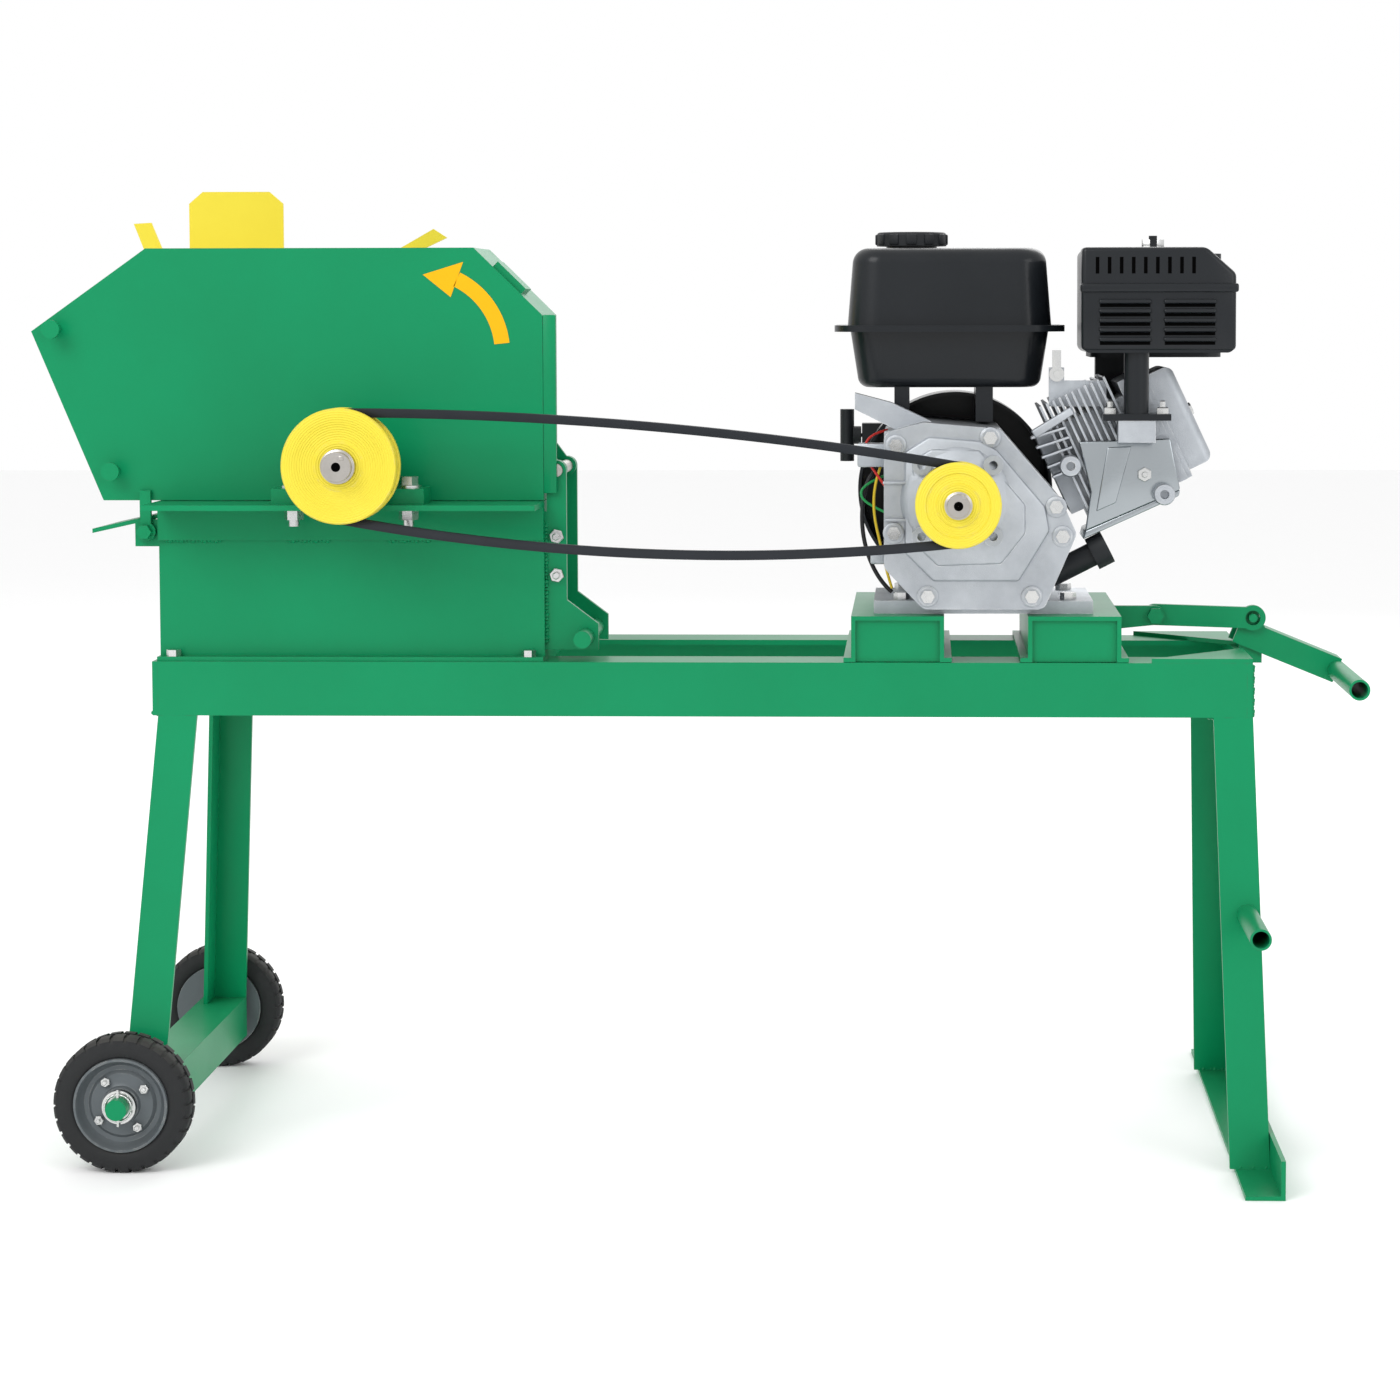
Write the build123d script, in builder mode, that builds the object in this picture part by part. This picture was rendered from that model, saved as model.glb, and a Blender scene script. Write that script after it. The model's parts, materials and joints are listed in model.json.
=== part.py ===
from build123d import *
import os
from math import atan2, cos, hypot, radians, sin

# Wood chipper on a two-wheel stand, in millimetres.
# +X points from the chipper head to the engine, +Y away from the belt side, +Z up.
# The origin lies on the ground, under the middle of the front foot.

os.makedirs("parts", exist_ok=True)

# ---------------------------------------------------------------- driving dimensions
# Stand
rail_length = 1000.0
half_width = 122.0
rail_size = 50.0
rail_wall = 5.0
rail_top = 454.0
rail_right = -3.0
end_wall = 5.0
gusset_leg = 42.0
gusset_wall = 4.0
leg_size = 36.0
leg_wall = 4.0
leg_lean_front = 11.0
leg_lean_wheel = 5.0
foot_half_spread = 185.0
foot_size = 35.0
foot_wall = 4.0
foot_half_length = 270.0
handle_tube_radius = 9.5
handle_tube_wall = 2.0
carry_handle_height = 228.0
carry_handle_reach = 112.0

# Wheels and axle
wheel_radius = 62.5
wheel_width = 36.0
wheel_half_track = 197.0
washer_wall = 2.5
rim_wall = 3.0
hub_wall = 6.5
tyre_round = 6.0
rim_radius = 43.0
axle_radius = 9.5
axle_setback = 17.0
axle_overhang = 14.0
beam_size = 40.0
beam_wall = 4.0
running_clearance = 0.08
side_clearance = 1.0

# Chipper head
head_overhang = 1.0
head_width = 357.0
head_near = -105.0
head_depth = 110.0
head_height = 147.0
plate_wall = 4.0
skin_wall = 3.0
cover_gap = 0.6
cover_height = 232.0
shaft_reach = 185.0
shaft_rise = 36.5
shaft_radius = 12.5
shelf_reach = 66.0
shelf_drop = 36.0
shelf_wall = 5.0
bearing_bolt_span = 105.0
block_width = 38.0
block_foot = 14.0
block_boss = 30.0
bearing_radius = 26.0
bearing_bolt_radius = 5.0
bolt_clearance = 0.5
base_flange = 14.0
base_bolt_radius = 4.0
base_bolt_inset = 14.0
nose_reach = 116.0
nose_drop = 76.0
mouth_reach = 51.0
shoulder_left = 9.0
shoulder_right = 63.0
shoulder_drop = 62.0
notch_radius = 20.0
lip_reach = 63.0
hook_radius = 5.0
latch_radius = 4.0
latch_reach = 38.0
latch_drop = 28.0
infeed_left = 30.0
infeed_width = 100.0
infeed_rise = 41.0
infeed_height = 120.0
hopper_depth = 195.0
hopper_wall = 3.0
mouth_left = 81.0
mouth_right = 60.0
mouth_rise = 20.0
feed_plate_width = 96.0
feed_plate_height = 60.0

# Rotor
disc_radius = 148.0
disc_wall = 12.0
disc_setback = 55.0
rotor_hub_radius = 30.0
knife_span = 84.0
knife_centre = 98.0
knife_wall = 6.0
knife_width = 38.0
pulley_width = 26.0
chopper_pulley_radius = 52.0
engine_pulley_radius = 38.5
groove_depth = 9.0
groove_width = 13.0
belt_plane = -186.0
belt_height = 8.0
belt_width = 12.0

# Hinge of the cover
hinge_reach = 11.0
hinge_rise = 28.0
hinge_radius = 6.0
lug_wall = 6.0
bar_reach = 37.0
bar_rise = 21.0
bar_radius = 8.0

# Carriage
carriage_height = 42.0
carriage_gap = 0.5
carriage_wall = 4.0
carriage_flange = 7.0
block_left_reach = 54.5
block_right_reach = 107.0
block_half = 42.5
lug_reach = 39.0
lug_drop = 9.5

# Engine; heights and reaches are measured from the crankshaft
crank_setback = 264.0
crank_height = 106.0
crank_radius = 10.0
crank_bore_clearance = 4.0
engine_foot_wall = 12.0
engine_bolt_radius = 4.0
mount_face = -130.0
mount_wall = 12.0
mount_boss_radius = 9.0
mount_boss_circle = 46.0
side_cover_wall = 22.0
case_far = 60.0
case_round = 9.0
cylinder_y = -22.0
cylinder_tilt = 25.0
cylinder_offset = -20.0
barrel_start = 104.0
barrel_half = 40.0
fin_count = 11
fin_wall = 2.2
fin_pitch = 6.4
fin_half_height = 64.0
fin_half_depth = 60.0
engine_head_length = 26.0
engine_head_half_height = 54.0
engine_head_half_depth = 56.0
valve_cover_length = 30.0
valve_cover_half_height = 48.0
valve_cover_half_depth = 46.0
shroud_radius = 94.0
shroud_far = 150.0
shroud_wall = 3.0
recoil_radius = 80.0
recoil_depth = 36.0
grip_rise = 48.0
grip_half_length = 26.0
grip_radius = 7.0
rope_radius = 2.0
tank_left = 102.0
tank_right = 89.0
tank_near = -60.0
tank_far = 120.0
tank_bottom_rise = 101.0
seam_rise = 156.0
tank_top_rise = 231.0
seam_reach = 12.0
neck_reach = 42.0
neck_y = 10.0
neck_radius = 24.0
cap_radius = 33.0
cap_height = 13.0
silencer_left = 114.0
silencer_right = 252.0
silencer_near = -112.0
silencer_far = -8.0
silencer_bottom_rise = 134.0
silencer_top_rise = 229.0
pipe_reach = 164.0
pipe_y = -95.0
pipe_radius = 11.5
exhaust_flange_rise = 72.0
exhaust_flange_wall = 6.0
cleaner_left = 128.0
cleaner_right = 252.0
cleaner_near = 8.0
cleaner_far = 112.0
cleaner_bottom_rise = 128.0
cleaner_top_rise = 226.0
filler_tilt = 27.0
filler_reach = 86.0
filler_drop = 73.0
filler_length = 60.0
filler_radius = 11.0
control_reach = 92.0
control_rise = 114.0
control_lever_reach = 22.0

# Tension lever
pivot_reach = 27.0
pivot_rise = 8.0
crank_arm = 24.0
crank_arm_angle = 24.0
lever_reach = 71.0
lever_drop = 29.0
lever_tail = 26.0
lever_half_height = 12.0
link_half_height = 10.0
channel_near = 1.0
channel_width = 40.0
channel_wall = 4.0
bracket_wall = 6.0
pin_radius = 4.0
open_pivot_clearance = 3.0

# Slack of the belt
belt_seat = 0.6
top_bow = 12.0
low_bow = 21.0

# ---------------------------------------------------------------- sizes that follow
rail_left = rail_right - rail_length
rail_bottom = rail_top - rail_size
flange_edge = half_width - rail_size
end_right = rail_right + end_wall
end_left = rail_left - end_wall
axle_x = rail_left - axle_setback
head_left = rail_left - head_overhang
head_right = head_left + head_width
head_far = head_near + head_depth
head_bottom = rail_top
head_top = head_bottom + head_height
shaft_x = head_left + shaft_reach
shaft_z = head_top + shaft_rise
hinge_x = head_right + hinge_reach
hinge_z = head_top + hinge_rise
cover_bottom = head_top + cover_gap
cover_top = cover_bottom + cover_height
carriage_bottom = rail_top + carriage_gap
carriage_top = carriage_bottom + carriage_height
crank_x = rail_right - crank_setback
crank_z = carriage_top + crank_height
block_left_x = crank_x - block_left_reach
block_right_x = crank_x + block_right_reach
pivot_x = rail_right + pivot_reach
pivot_z = rail_top + pivot_rise
base_bolt_xs = (head_left + base_bolt_inset, head_right - base_bolt_inset)
base_bolt_y = head_near - base_flange / 2
base_hole = base_bolt_radius + bolt_clearance
pulley_near = belt_plane - pulley_width / 2
pulley_far = belt_plane + pulley_width / 2


# ---------------------------------------------------------------- shape helpers
def block(x, y, z, mode=Mode.ADD):
    """A box between two limits on each axis, added to the open part."""
    with Locations(((x[0] + x[1]) / 2, (y[0] + y[1]) / 2, (z[0] + z[1]) / 2)):
        Box(x[1] - x[0], y[1] - y[0], z[1] - z[0], mode=mode)


def plate_y(points, y, mode=Mode.ADD):
    """A flat plate: an outline of (x, z) points, between two y limits."""
    with BuildSketch(Plane.XZ.offset(-y[1])) as outline:
        with BuildLine():
            Polyline(*points, close=True)
        make_face()
    extrude(outline.sketch, amount=y[1] - y[0], mode=mode)


def bar_x(points, x, mode=Mode.ADD):
    """A bar along X: a section of (y, z) points, between two x limits."""
    with BuildSketch(Plane.YZ.offset(x[0])) as section:
        with BuildLine():
            Polyline(*points, close=True)
        make_face()
    extrude(section.sketch, amount=x[1] - x[0], mode=mode)


def rod_x(y, z, radius, x, mode=Mode.ADD):
    """A round bar along X."""
    with BuildSketch(Plane.YZ.offset(x[0])) as section:
        with Locations((y, z)):
            Circle(radius)
    extrude(section.sketch, amount=x[1] - x[0], mode=mode)


def rod_y(x, z, radius, y, mode=Mode.ADD):
    """A round bar along Y."""
    with BuildSketch(Plane.XZ.offset(-y[1])) as section:
        with Locations((x, z)):
            Circle(radius)
    extrude(section.sketch, amount=y[1] - y[0], mode=mode)


def rod_z(x, y, radius, z, mode=Mode.ADD):
    """A round bar along Z."""
    with BuildSketch(Plane.XY.offset(z[0])) as section:
        with Locations((x, y)):
            Circle(radius)
    extrude(section.sketch, amount=z[1] - z[0], mode=mode)


def hex_z(x, y, radius, z):
    """A hexagon head or nut, standing along Z."""
    with BuildSketch(Plane.XY.offset(z[0])) as section:
        with Locations((x, y)):
            RegularPolygon(radius, 6)
    extrude(section.sketch, amount=z[1] - z[0])


def hex_y(x, z, radius, y):
    """A hexagon head or nut, lying along Y."""
    with BuildSketch(Plane.XZ.offset(-y[1])) as section:
        with Locations((x, z)):
            RegularPolygon(radius, 6)
    extrude(section.sketch, amount=y[1] - y[0])


def angle_section(corner, way, size, wall):
    """The six corners of an angle section, from its outer corner."""
    u, v = corner
    p, q = way
    return [
        (u, v),
        (u + p * size, v),
        (u + p * size, v + q * wall),
        (u + p * wall, v + q * wall),
        (u + p * wall, v + q * size),
        (u, v + q * size),
    ]


def leg(top, bottom, way, z):
    """A leaning angle leg with level ends, from its outer corners at both ends."""
    with BuildSketch(Plane.XY.offset(z[0])) as low:
        with BuildLine():
            Polyline(*angle_section(bottom, way, leg_size, leg_wall), close=True)
        make_face()
    with BuildSketch(Plane.XY.offset(z[1])) as high:
        with BuildLine():
            Polyline(*angle_section(top, way, leg_size, leg_wall), close=True)
        make_face()
    loft([low.sketch.face(), high.sketch.face()])


def leg_outer_y(z):
    """How far out a leg's outer face stands at a height."""
    return half_width + (foot_half_spread - half_width) * (rail_bottom - z) / rail_bottom


# ---------------------------------------------------------------- stand
near_corner = (-half_width, rail_top)
far_corner = (half_width, rail_top)

with BuildPart() as rail_near:
    bar_x(angle_section(near_corner, (1, -1), rail_size, rail_wall), (rail_left, rail_right))
    for bolt_x in base_bolt_xs:
        rod_z(bolt_x, base_bolt_y, base_hole, (rail_top - rail_wall, rail_top), Mode.SUBTRACT)
rail_near.part.label = "rail_near"
export_step(rail_near.part, "parts/rail_near.step")

with BuildPart() as rail_far:
    bar_x(angle_section(far_corner, (-1, -1), rail_size, rail_wall), (rail_left, rail_right))
rail_far.part.label = "rail_far"
export_step(rail_far.part, "parts/rail_far.step")

with BuildPart() as end_plates:
    block((end_left, rail_left), (-half_width, half_width), (rail_bottom, rail_top))
    block((rail_right, end_right), (-half_width, half_width), (rail_bottom, rail_top))
end_plates.part.label = "end_plates"
export_step(end_plates.part, "parts/end_plates.step")

cross_places = [rail_left, head_right - beam_size]
with BuildPart() as cross_members:
    for cross_x in cross_places:
        plate_y(
            angle_section((cross_x, rail_top), (1, -1), beam_size, rail_wall),
            (-flange_edge, flange_edge),
        )
cross_members.part.label = "cross_members"
export_step(cross_members.part, "parts/cross_members.step")

with BuildPart() as corner_gussets:
    for side in (-1, 1):
        with BuildSketch(Plane.XY.offset(rail_top)) as triangle:
            with BuildLine():
                Polyline(
                    (end_right, side * half_width),
                    (end_right, side * (half_width - rail_size - gusset_leg)),
                    (end_right - rail_size - gusset_leg, side * half_width),
                    close=True,
                )
            make_face()
        extrude(triangle.sketch, amount=gusset_wall)
corner_gussets.part.label = "corner_gussets"
export_step(corner_gussets.part, "parts/corner_gussets.step")

foot_right = foot_size / 2
foot_inner = foot_right - foot_wall
with BuildPart() as front_legs:
    for side in (-1, 1):
        leg(
            (foot_inner - leg_lean_front, side * half_width),
            (foot_inner, side * leg_outer_y(foot_wall)),
            (-1, -side),
            (foot_wall, rail_bottom),
        )
front_legs.part.label = "front_legs"
export_step(front_legs.part, "parts/front_legs.step")

with BuildPart() as foot_angle:
    plate_y(
        angle_section((foot_right, 0), (-1, 1), foot_size, foot_wall),
        (-foot_half_length, foot_half_length),
    )
foot_angle.part.label = "foot_angle"
export_step(foot_angle.part, "parts/foot_angle.step")

lean_y = foot_half_spread - half_width
handle_x = foot_inner - leg_size / 2
handle_start = leg_outer_y(carry_handle_height)
with BuildPart() as carry_handles:
    for side in (-1, 1):
        tube_start = side * (handle_start - 5 * handle_tube_wall)
        ends = sorted((tube_start, side * (handle_start + carry_handle_reach)))
        rod_y(handle_x, carry_handle_height, handle_tube_radius, ends)
        rod_y(handle_x, carry_handle_height, handle_tube_radius - handle_tube_wall, ends, Mode.SUBTRACT)
    for side in (-1, 1):
        leg_face = Plane(
            origin=(handle_x, side * handle_start, carry_handle_height),
            z_dir=(0, side * rail_bottom, lean_y),
        )
        with BuildSketch(leg_face) as trim:
            Circle(4 * handle_tube_radius)
        extrude(trim.sketch, amount=-6 * handle_tube_radius, mode=Mode.SUBTRACT)
carry_handles.part.label = "carry_handles"
export_step(carry_handles.part, "parts/carry_handles.step")

# The axle beam lies under the wheel legs, and its two drop plates hold the axle.
beam_top = wheel_radius + axle_radius + beam_wall
beam_half = leg_outer_y(beam_top)
beam_left = axle_x - axle_radius - beam_wall
leg_bottom_x = beam_left + 2 * beam_wall
with BuildPart() as wheel_legs:
    for side in (-1, 1):
        leg(
            (end_left + leg_lean_wheel, side * half_width),
            (leg_bottom_x, side * leg_outer_y(beam_top)),
            (1, -side),
            (beam_top, rail_bottom),
        )
wheel_legs.part.label = "wheel_legs"
export_step(wheel_legs.part, "parts/wheel_legs.step")

with BuildPart() as axle_beam:
    beam_right = leg_bottom_x + leg_size
    plate_y(
        [
            (beam_left, beam_top),
            (beam_right, beam_top),
            (beam_right, beam_top - beam_size),
            (beam_right - beam_wall, beam_top - beam_size),
            (beam_right - beam_wall, beam_top - beam_wall),
            (beam_left, beam_top - beam_wall),
        ],
        (-beam_half, beam_half),
    )
    for side in (-1, 1):
        lug_ends = sorted((side * (beam_half - 2 * beam_wall), side * beam_half))
        block(
            (beam_left, beam_right - beam_wall),
            lug_ends,
            (wheel_radius - axle_radius - beam_wall, beam_top - beam_wall),
        )
    rod_y(axle_x, wheel_radius, axle_radius, (-beam_half, beam_half), Mode.SUBTRACT)
axle_beam.part.label = "axle_beam"
export_step(axle_beam.part, "parts/axle_beam.step")

axle_half = wheel_half_track + wheel_width / 2 + axle_overhang
with BuildPart() as axle:
    rod_y(axle_x, wheel_radius, axle_radius, (-axle_half, axle_half))
axle.part.label = "axle"
export_step(axle.part, "parts/axle.step")

# Outside each wheel a washer rides on the axle.
washer_start = wheel_half_track + wheel_width / 2 + side_clearance
with BuildPart() as axle_washers:
    for side in (-1, 1):
        washer_ends = sorted((side * washer_start, side * (washer_start + washer_wall)))
        rod_y(axle_x, wheel_radius, axle_radius * 1.6, washer_ends)
        rod_y(axle_x, wheel_radius, axle_radius, washer_ends, Mode.SUBTRACT)
axle_washers.part.label = "axle_washers"
export_step(axle_washers.part, "parts/axle_washers.step")

for wheel_name, side in (("near", -1), ("far", 1)):
    wheel_ends = (side * wheel_half_track - wheel_width / 2, side * wheel_half_track + wheel_width / 2)
    tyre_ends = (wheel_ends[0] + side_clearance, wheel_ends[1] - side_clearance)
    web = (side * wheel_half_track - 2.0, side * wheel_half_track + 2.0)
    with BuildPart() as rim:
        rod_y(axle_x, wheel_radius, rim_radius, tyre_ends)
        rod_y(axle_x, wheel_radius, rim_radius - rim_wall, tyre_ends, Mode.SUBTRACT)
        rod_y(axle_x, wheel_radius, rim_radius - rim_wall / 2, web)
        rod_y(axle_x, wheel_radius, axle_radius + hub_wall, wheel_ends)
        rod_y(axle_x, wheel_radius, axle_radius + running_clearance, wheel_ends, Mode.SUBTRACT)
    rim.part.label = "rim_" + wheel_name
    export_step(rim.part, "parts/rim_" + wheel_name + ".step")
    with BuildPart() as tyre:
        rod_y(axle_x, wheel_radius, wheel_radius, tyre_ends)
        fillet(tyre.edges().filter_by(GeomType.CIRCLE), radius=tyre_round)
        rod_y(axle_x, wheel_radius, rim_radius, tyre_ends, Mode.SUBTRACT)
    tyre.part.label = "tyre_" + wheel_name
    export_step(tyre.part, "parts/tyre_" + wheel_name + ".step")

# ---------------------------------------------------------------- chipper head, fixed part
with BuildPart() as housing_near_plate:
    block((head_left, head_right), (head_near, head_near + plate_wall), (head_bottom, head_top))
    flange_ends = (head_near - base_flange, head_near)
    block((head_left, head_right), flange_ends, (head_bottom, head_bottom + plate_wall))
    for bolt_x in base_bolt_xs:
        rod_z(bolt_x, base_bolt_y, base_hole, (head_bottom, head_bottom + plate_wall), Mode.SUBTRACT)
housing_near_plate.part.label = "housing_near_plate"
export_step(housing_near_plate.part, "parts/housing_near_plate.step")

with BuildPart() as housing_far_plate:
    block((head_left, head_right), (head_far - plate_wall, head_far), (head_bottom, head_top))
housing_far_plate.part.label = "housing_far_plate"
export_step(housing_far_plate.part, "parts/housing_far_plate.step")

# One bent sheet makes the two end walls and the floor between the side plates.
inside_y = (head_near + plate_wall, head_far - plate_wall)
with BuildPart() as housing_shell:
    plate_y(
        [
            (head_left, head_top),
            (head_left, head_bottom),
            (head_right, head_bottom),
            (head_right, head_top),
            (head_right - plate_wall, head_top),
            (head_right - plate_wall, head_bottom + plate_wall),
            (head_left + plate_wall, head_bottom + plate_wall),
            (head_left + plate_wall, head_top),
        ],
        inside_y,
    )
housing_shell.part.label = "housing_shell"
export_step(housing_shell.part, "parts/housing_shell.step")

lip_root = head_top - 12.0
with BuildPart() as discharge_lip:
    plate_y(
        [
            (head_left, lip_root),
            (head_left - lip_reach, lip_root - 14.0),
            (head_left - lip_reach, lip_root - 14.0 - plate_wall),
            (head_left, lip_root - plate_wall),
        ],
        (head_near + plate_wall, head_far),
    )
    ear_z = (lip_root - 30.0, lip_root - 5.0)
    block((head_left - 22.0, head_left), (head_near, head_near + plate_wall), ear_z)
    rod_y(
        head_left - 11.0,
        head_top - latch_drop,
        latch_radius + running_clearance,
        (head_near, head_near + plate_wall),
        Mode.SUBTRACT,
    )
discharge_lip.part.label = "discharge_lip"
export_step(discharge_lip.part, "parts/discharge_lip.step")

block_near_y = head_near - 14.0 - block_width / 2
block_far_y = head_far + 14.0 + block_width / 2
bearing_bolt_xs = (shaft_x - bearing_bolt_span / 2, shaft_x + bearing_bolt_span / 2)
bearing_hole = bearing_bolt_radius + bolt_clearance
with BuildPart() as bearing_shelves:
    for face_y, way in ((head_near, -1), (head_far, 1)):
        flat_ends = sorted((face_y, face_y + way * shelf_reach))
        block((head_left, head_right), flat_ends, (head_top - shelf_wall, head_top))
        drop_ends = sorted((face_y, face_y + way * shelf_wall))
        block((head_left, head_right), drop_ends, (head_top - shelf_drop, head_top))
    for bolt_x in bearing_bolt_xs:
        for bolt_y in (block_near_y, block_far_y):
            rod_z(bolt_x, bolt_y, bearing_hole, (head_top - shelf_wall, head_top), Mode.SUBTRACT)
bearing_shelves.part.label = "bearing_shelves"
export_step(bearing_shelves.part, "parts/bearing_shelves.step")

with BuildPart() as pillow_blocks:
    for block_y in (block_near_y, block_far_y):
        ends = (block_y - block_width / 2, block_y + block_width / 2)
        foot_reach = bearing_bolt_span / 2 + 17.0
        block((shaft_x - foot_reach, shaft_x + foot_reach), ends, (head_top, head_top + block_foot))
        block((shaft_x - block_boss, shaft_x + block_boss), ends, (head_top, shaft_z))
        rod_y(shaft_x, shaft_z, block_boss, ends)
        rod_y(shaft_x, shaft_z, bearing_radius, ends, Mode.SUBTRACT)
        for bolt_x in bearing_bolt_xs:
            rod_z(bolt_x, block_y, bearing_hole, (head_top, head_top + block_foot), Mode.SUBTRACT)
pillow_blocks.part.label = "pillow_blocks"
export_step(pillow_blocks.part, "parts/pillow_blocks.step")

with BuildPart() as bearing_rings:
    for block_y in (block_near_y, block_far_y):
        ends = (block_y - block_width / 2, block_y + block_width / 2)
        rod_y(shaft_x, shaft_z, bearing_radius, ends)
        rod_y(shaft_x, shaft_z, shaft_radius + running_clearance, ends, Mode.SUBTRACT)
bearing_rings.part.label = "bearing_rings"
export_step(bearing_rings.part, "parts/bearing_rings.step")

# Hexagon bolts with washers and nuts: four through the bearing feet, two through the base flange.
with BuildPart() as head_bolts:
    for bolt_x in bearing_bolt_xs:
        for bolt_y in (block_near_y, block_far_y):
            foot_top = head_top + block_foot
            rod_z(bolt_x, bolt_y, bearing_bolt_radius * 2.4, (foot_top, foot_top + 2.5))
            hex_z(bolt_x, bolt_y, bearing_bolt_radius * 1.8, (foot_top + 2.5, foot_top + 10.5))
            rod_z(bolt_x, bolt_y, bearing_bolt_radius, (head_top - shelf_wall - 16.0, foot_top + 2.5))
            nut_ends = (head_top - shelf_wall - 10.0, head_top - shelf_wall)
            hex_z(bolt_x, bolt_y, bearing_bolt_radius * 1.8, nut_ends)
    for bolt_x in base_bolt_xs:
        base_top = head_bottom + plate_wall
        hex_z(bolt_x, base_bolt_y, base_bolt_radius * 1.7, (base_top, base_top + 6.0))
        rod_z(bolt_x, base_bolt_y, base_bolt_radius, (rail_top - rail_wall - 9.0, base_top + 1.0))
head_bolts.part.label = "head_bolts"
export_step(head_bolts.part, "parts/head_bolts.step")

# Two posts at the right-hand wall carry the hinge pin of the cover and a round bar.
bar_x_place = head_right + bar_reach
bar_z = head_bottom + bar_rise
post_ends = ((head_near + 7.0, head_near + 7.0 + lug_wall), (head_far - 7.0 - lug_wall, head_far - 7.0))
with BuildPart() as hinge_posts:
    for ends in post_ends:
        plate_y(
            [
                (head_right, bar_z - 12.0),
                (bar_x_place + 12.0, bar_z - 12.0),
                (bar_x_place + 12.0, bar_z + 12.0),
                (hinge_x + hinge_radius + 3.0, bar_z + 34.0),
                (hinge_x + hinge_radius + 3.0, hinge_z),
                (hinge_x - hinge_radius - 3.0, hinge_z),
                (hinge_x - hinge_radius - 3.0, head_top - 10.0),
                (head_right, head_top - 10.0),
            ],
            ends,
        )
        rod_y(hinge_x, hinge_z, hinge_radius + 3.0, ends)
        rod_y(hinge_x, hinge_z, hinge_radius + running_clearance, ends, Mode.SUBTRACT)
        rod_y(bar_x_place, bar_z, bar_radius, ends, Mode.SUBTRACT)
hinge_posts.part.label = "hinge_posts"
export_step(hinge_posts.part, "parts/hinge_posts.step")

with BuildPart() as support_bar:
    rod_y(bar_x_place, bar_z, bar_radius, (head_near - 22.0, head_far - 7.0))
support_bar.part.label = "support_bar"
export_step(support_bar.part, "parts/support_bar.step")

# ---------------------------------------------------------------- cover
nose = (head_left - nose_reach, cover_top - nose_drop)
cover_outline = [
    nose,
    (head_left - shoulder_left, cover_top),
    (head_right - shoulder_right, cover_top),
    (head_right, cover_top - shoulder_drop),
    (head_right, cover_bottom),
    (head_left - mouth_reach, cover_bottom),
]
infeed_x = (head_left + infeed_left, head_left + infeed_left + infeed_width)
infeed_z = (head_top + infeed_rise, head_top + infeed_rise + infeed_height)


def cover_plate(ends):
    """One side plate of the cover, with a notch that clears the rotor shaft."""
    plate_y(cover_outline, ends)
    notch = (shaft_x - notch_radius, shaft_x + notch_radius)
    block(notch, ends, (cover_bottom, shaft_z), Mode.SUBTRACT)
    rod_y(shaft_x, shaft_z, notch_radius, ends, Mode.SUBTRACT)


with BuildPart() as cover_near_plate:
    cover_plate((head_near, head_near + plate_wall))
cover_near_plate.part.label = "cover_near_plate"
export_step(cover_near_plate.part, "parts/cover_near_plate.step")

with BuildPart() as cover_far_plate:
    cover_plate((head_far - plate_wall, head_far))
    block(infeed_x, (head_far - plate_wall, head_far), infeed_z, Mode.SUBTRACT)
cover_far_plate.part.label = "cover_far_plate"
export_step(cover_far_plate.part, "parts/cover_far_plate.step")

slope_length = hypot(shoulder_right, shoulder_drop)
slope = (shoulder_right / slope_length, shoulder_drop / slope_length)


def on_slope(along, out):
    """A point on the right-hand slope of the cover, from its top corner."""
    x = head_right - shoulder_right + along * slope[0] + out * slope[1]
    return (x, cover_top - along * slope[1] + out * slope[0])


# The bent skin closes the cover from its nose over the top to the hinge side, with a welded tab.
with BuildPart() as cover_skin:
    with BuildSketch(Plane.XZ.offset(-inside_y[1])) as skin_outline:
        with BuildLine():
            Polyline(*cover_outline[:5])
            offset(amount=skin_wall, side=Side.RIGHT, kind=Kind.INTERSECTION)
        make_face()
    extrude(skin_outline.sketch, amount=inside_y[1] - inside_y[0], mode=Mode.REPLACE)
    plate_y(
        [on_slope(24.0, 0), on_slope(24.0, 6.0), on_slope(60.0, 6.0), on_slope(60.0, 0)],
        (head_near + 8.0, head_near + 48.0),
    )
cover_skin.part.label = "cover_skin"
export_step(cover_skin.part, "parts/cover_skin.step")

# Two ears on the skin hold the hinge pin beside the posts.
ear_ends = (
    (post_ends[0][1] + side_clearance, post_ends[0][1] + side_clearance + lug_wall),
    (post_ends[1][0] - side_clearance - lug_wall, post_ends[1][0] - side_clearance),
)
with BuildPart() as hinge_ears:
    for ends in ear_ends:
        plate_y(
            [
                (head_right, hinge_z - hinge_radius - 3.0),
                (hinge_x, hinge_z - hinge_radius - 3.0),
                (hinge_x, hinge_z + hinge_radius + 3.0),
                (head_right, hinge_z + 4 * hinge_radius),
            ],
            ends,
        )
        rod_y(hinge_x, hinge_z, hinge_radius + 3.0, ends)
        rod_y(hinge_x, hinge_z, hinge_radius, ends, Mode.SUBTRACT)
hinge_ears.part.label = "hinge_ears"
export_step(hinge_ears.part, "parts/hinge_ears.step")

with BuildPart() as hinge_pin:
    rod_y(hinge_x, hinge_z, hinge_radius, (post_ends[0][0] - 4.0, post_ends[1][1] + 4.0))
hinge_pin.part.label = "hinge_pin"
export_step(hinge_pin.part, "parts/hinge_pin.step")

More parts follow.
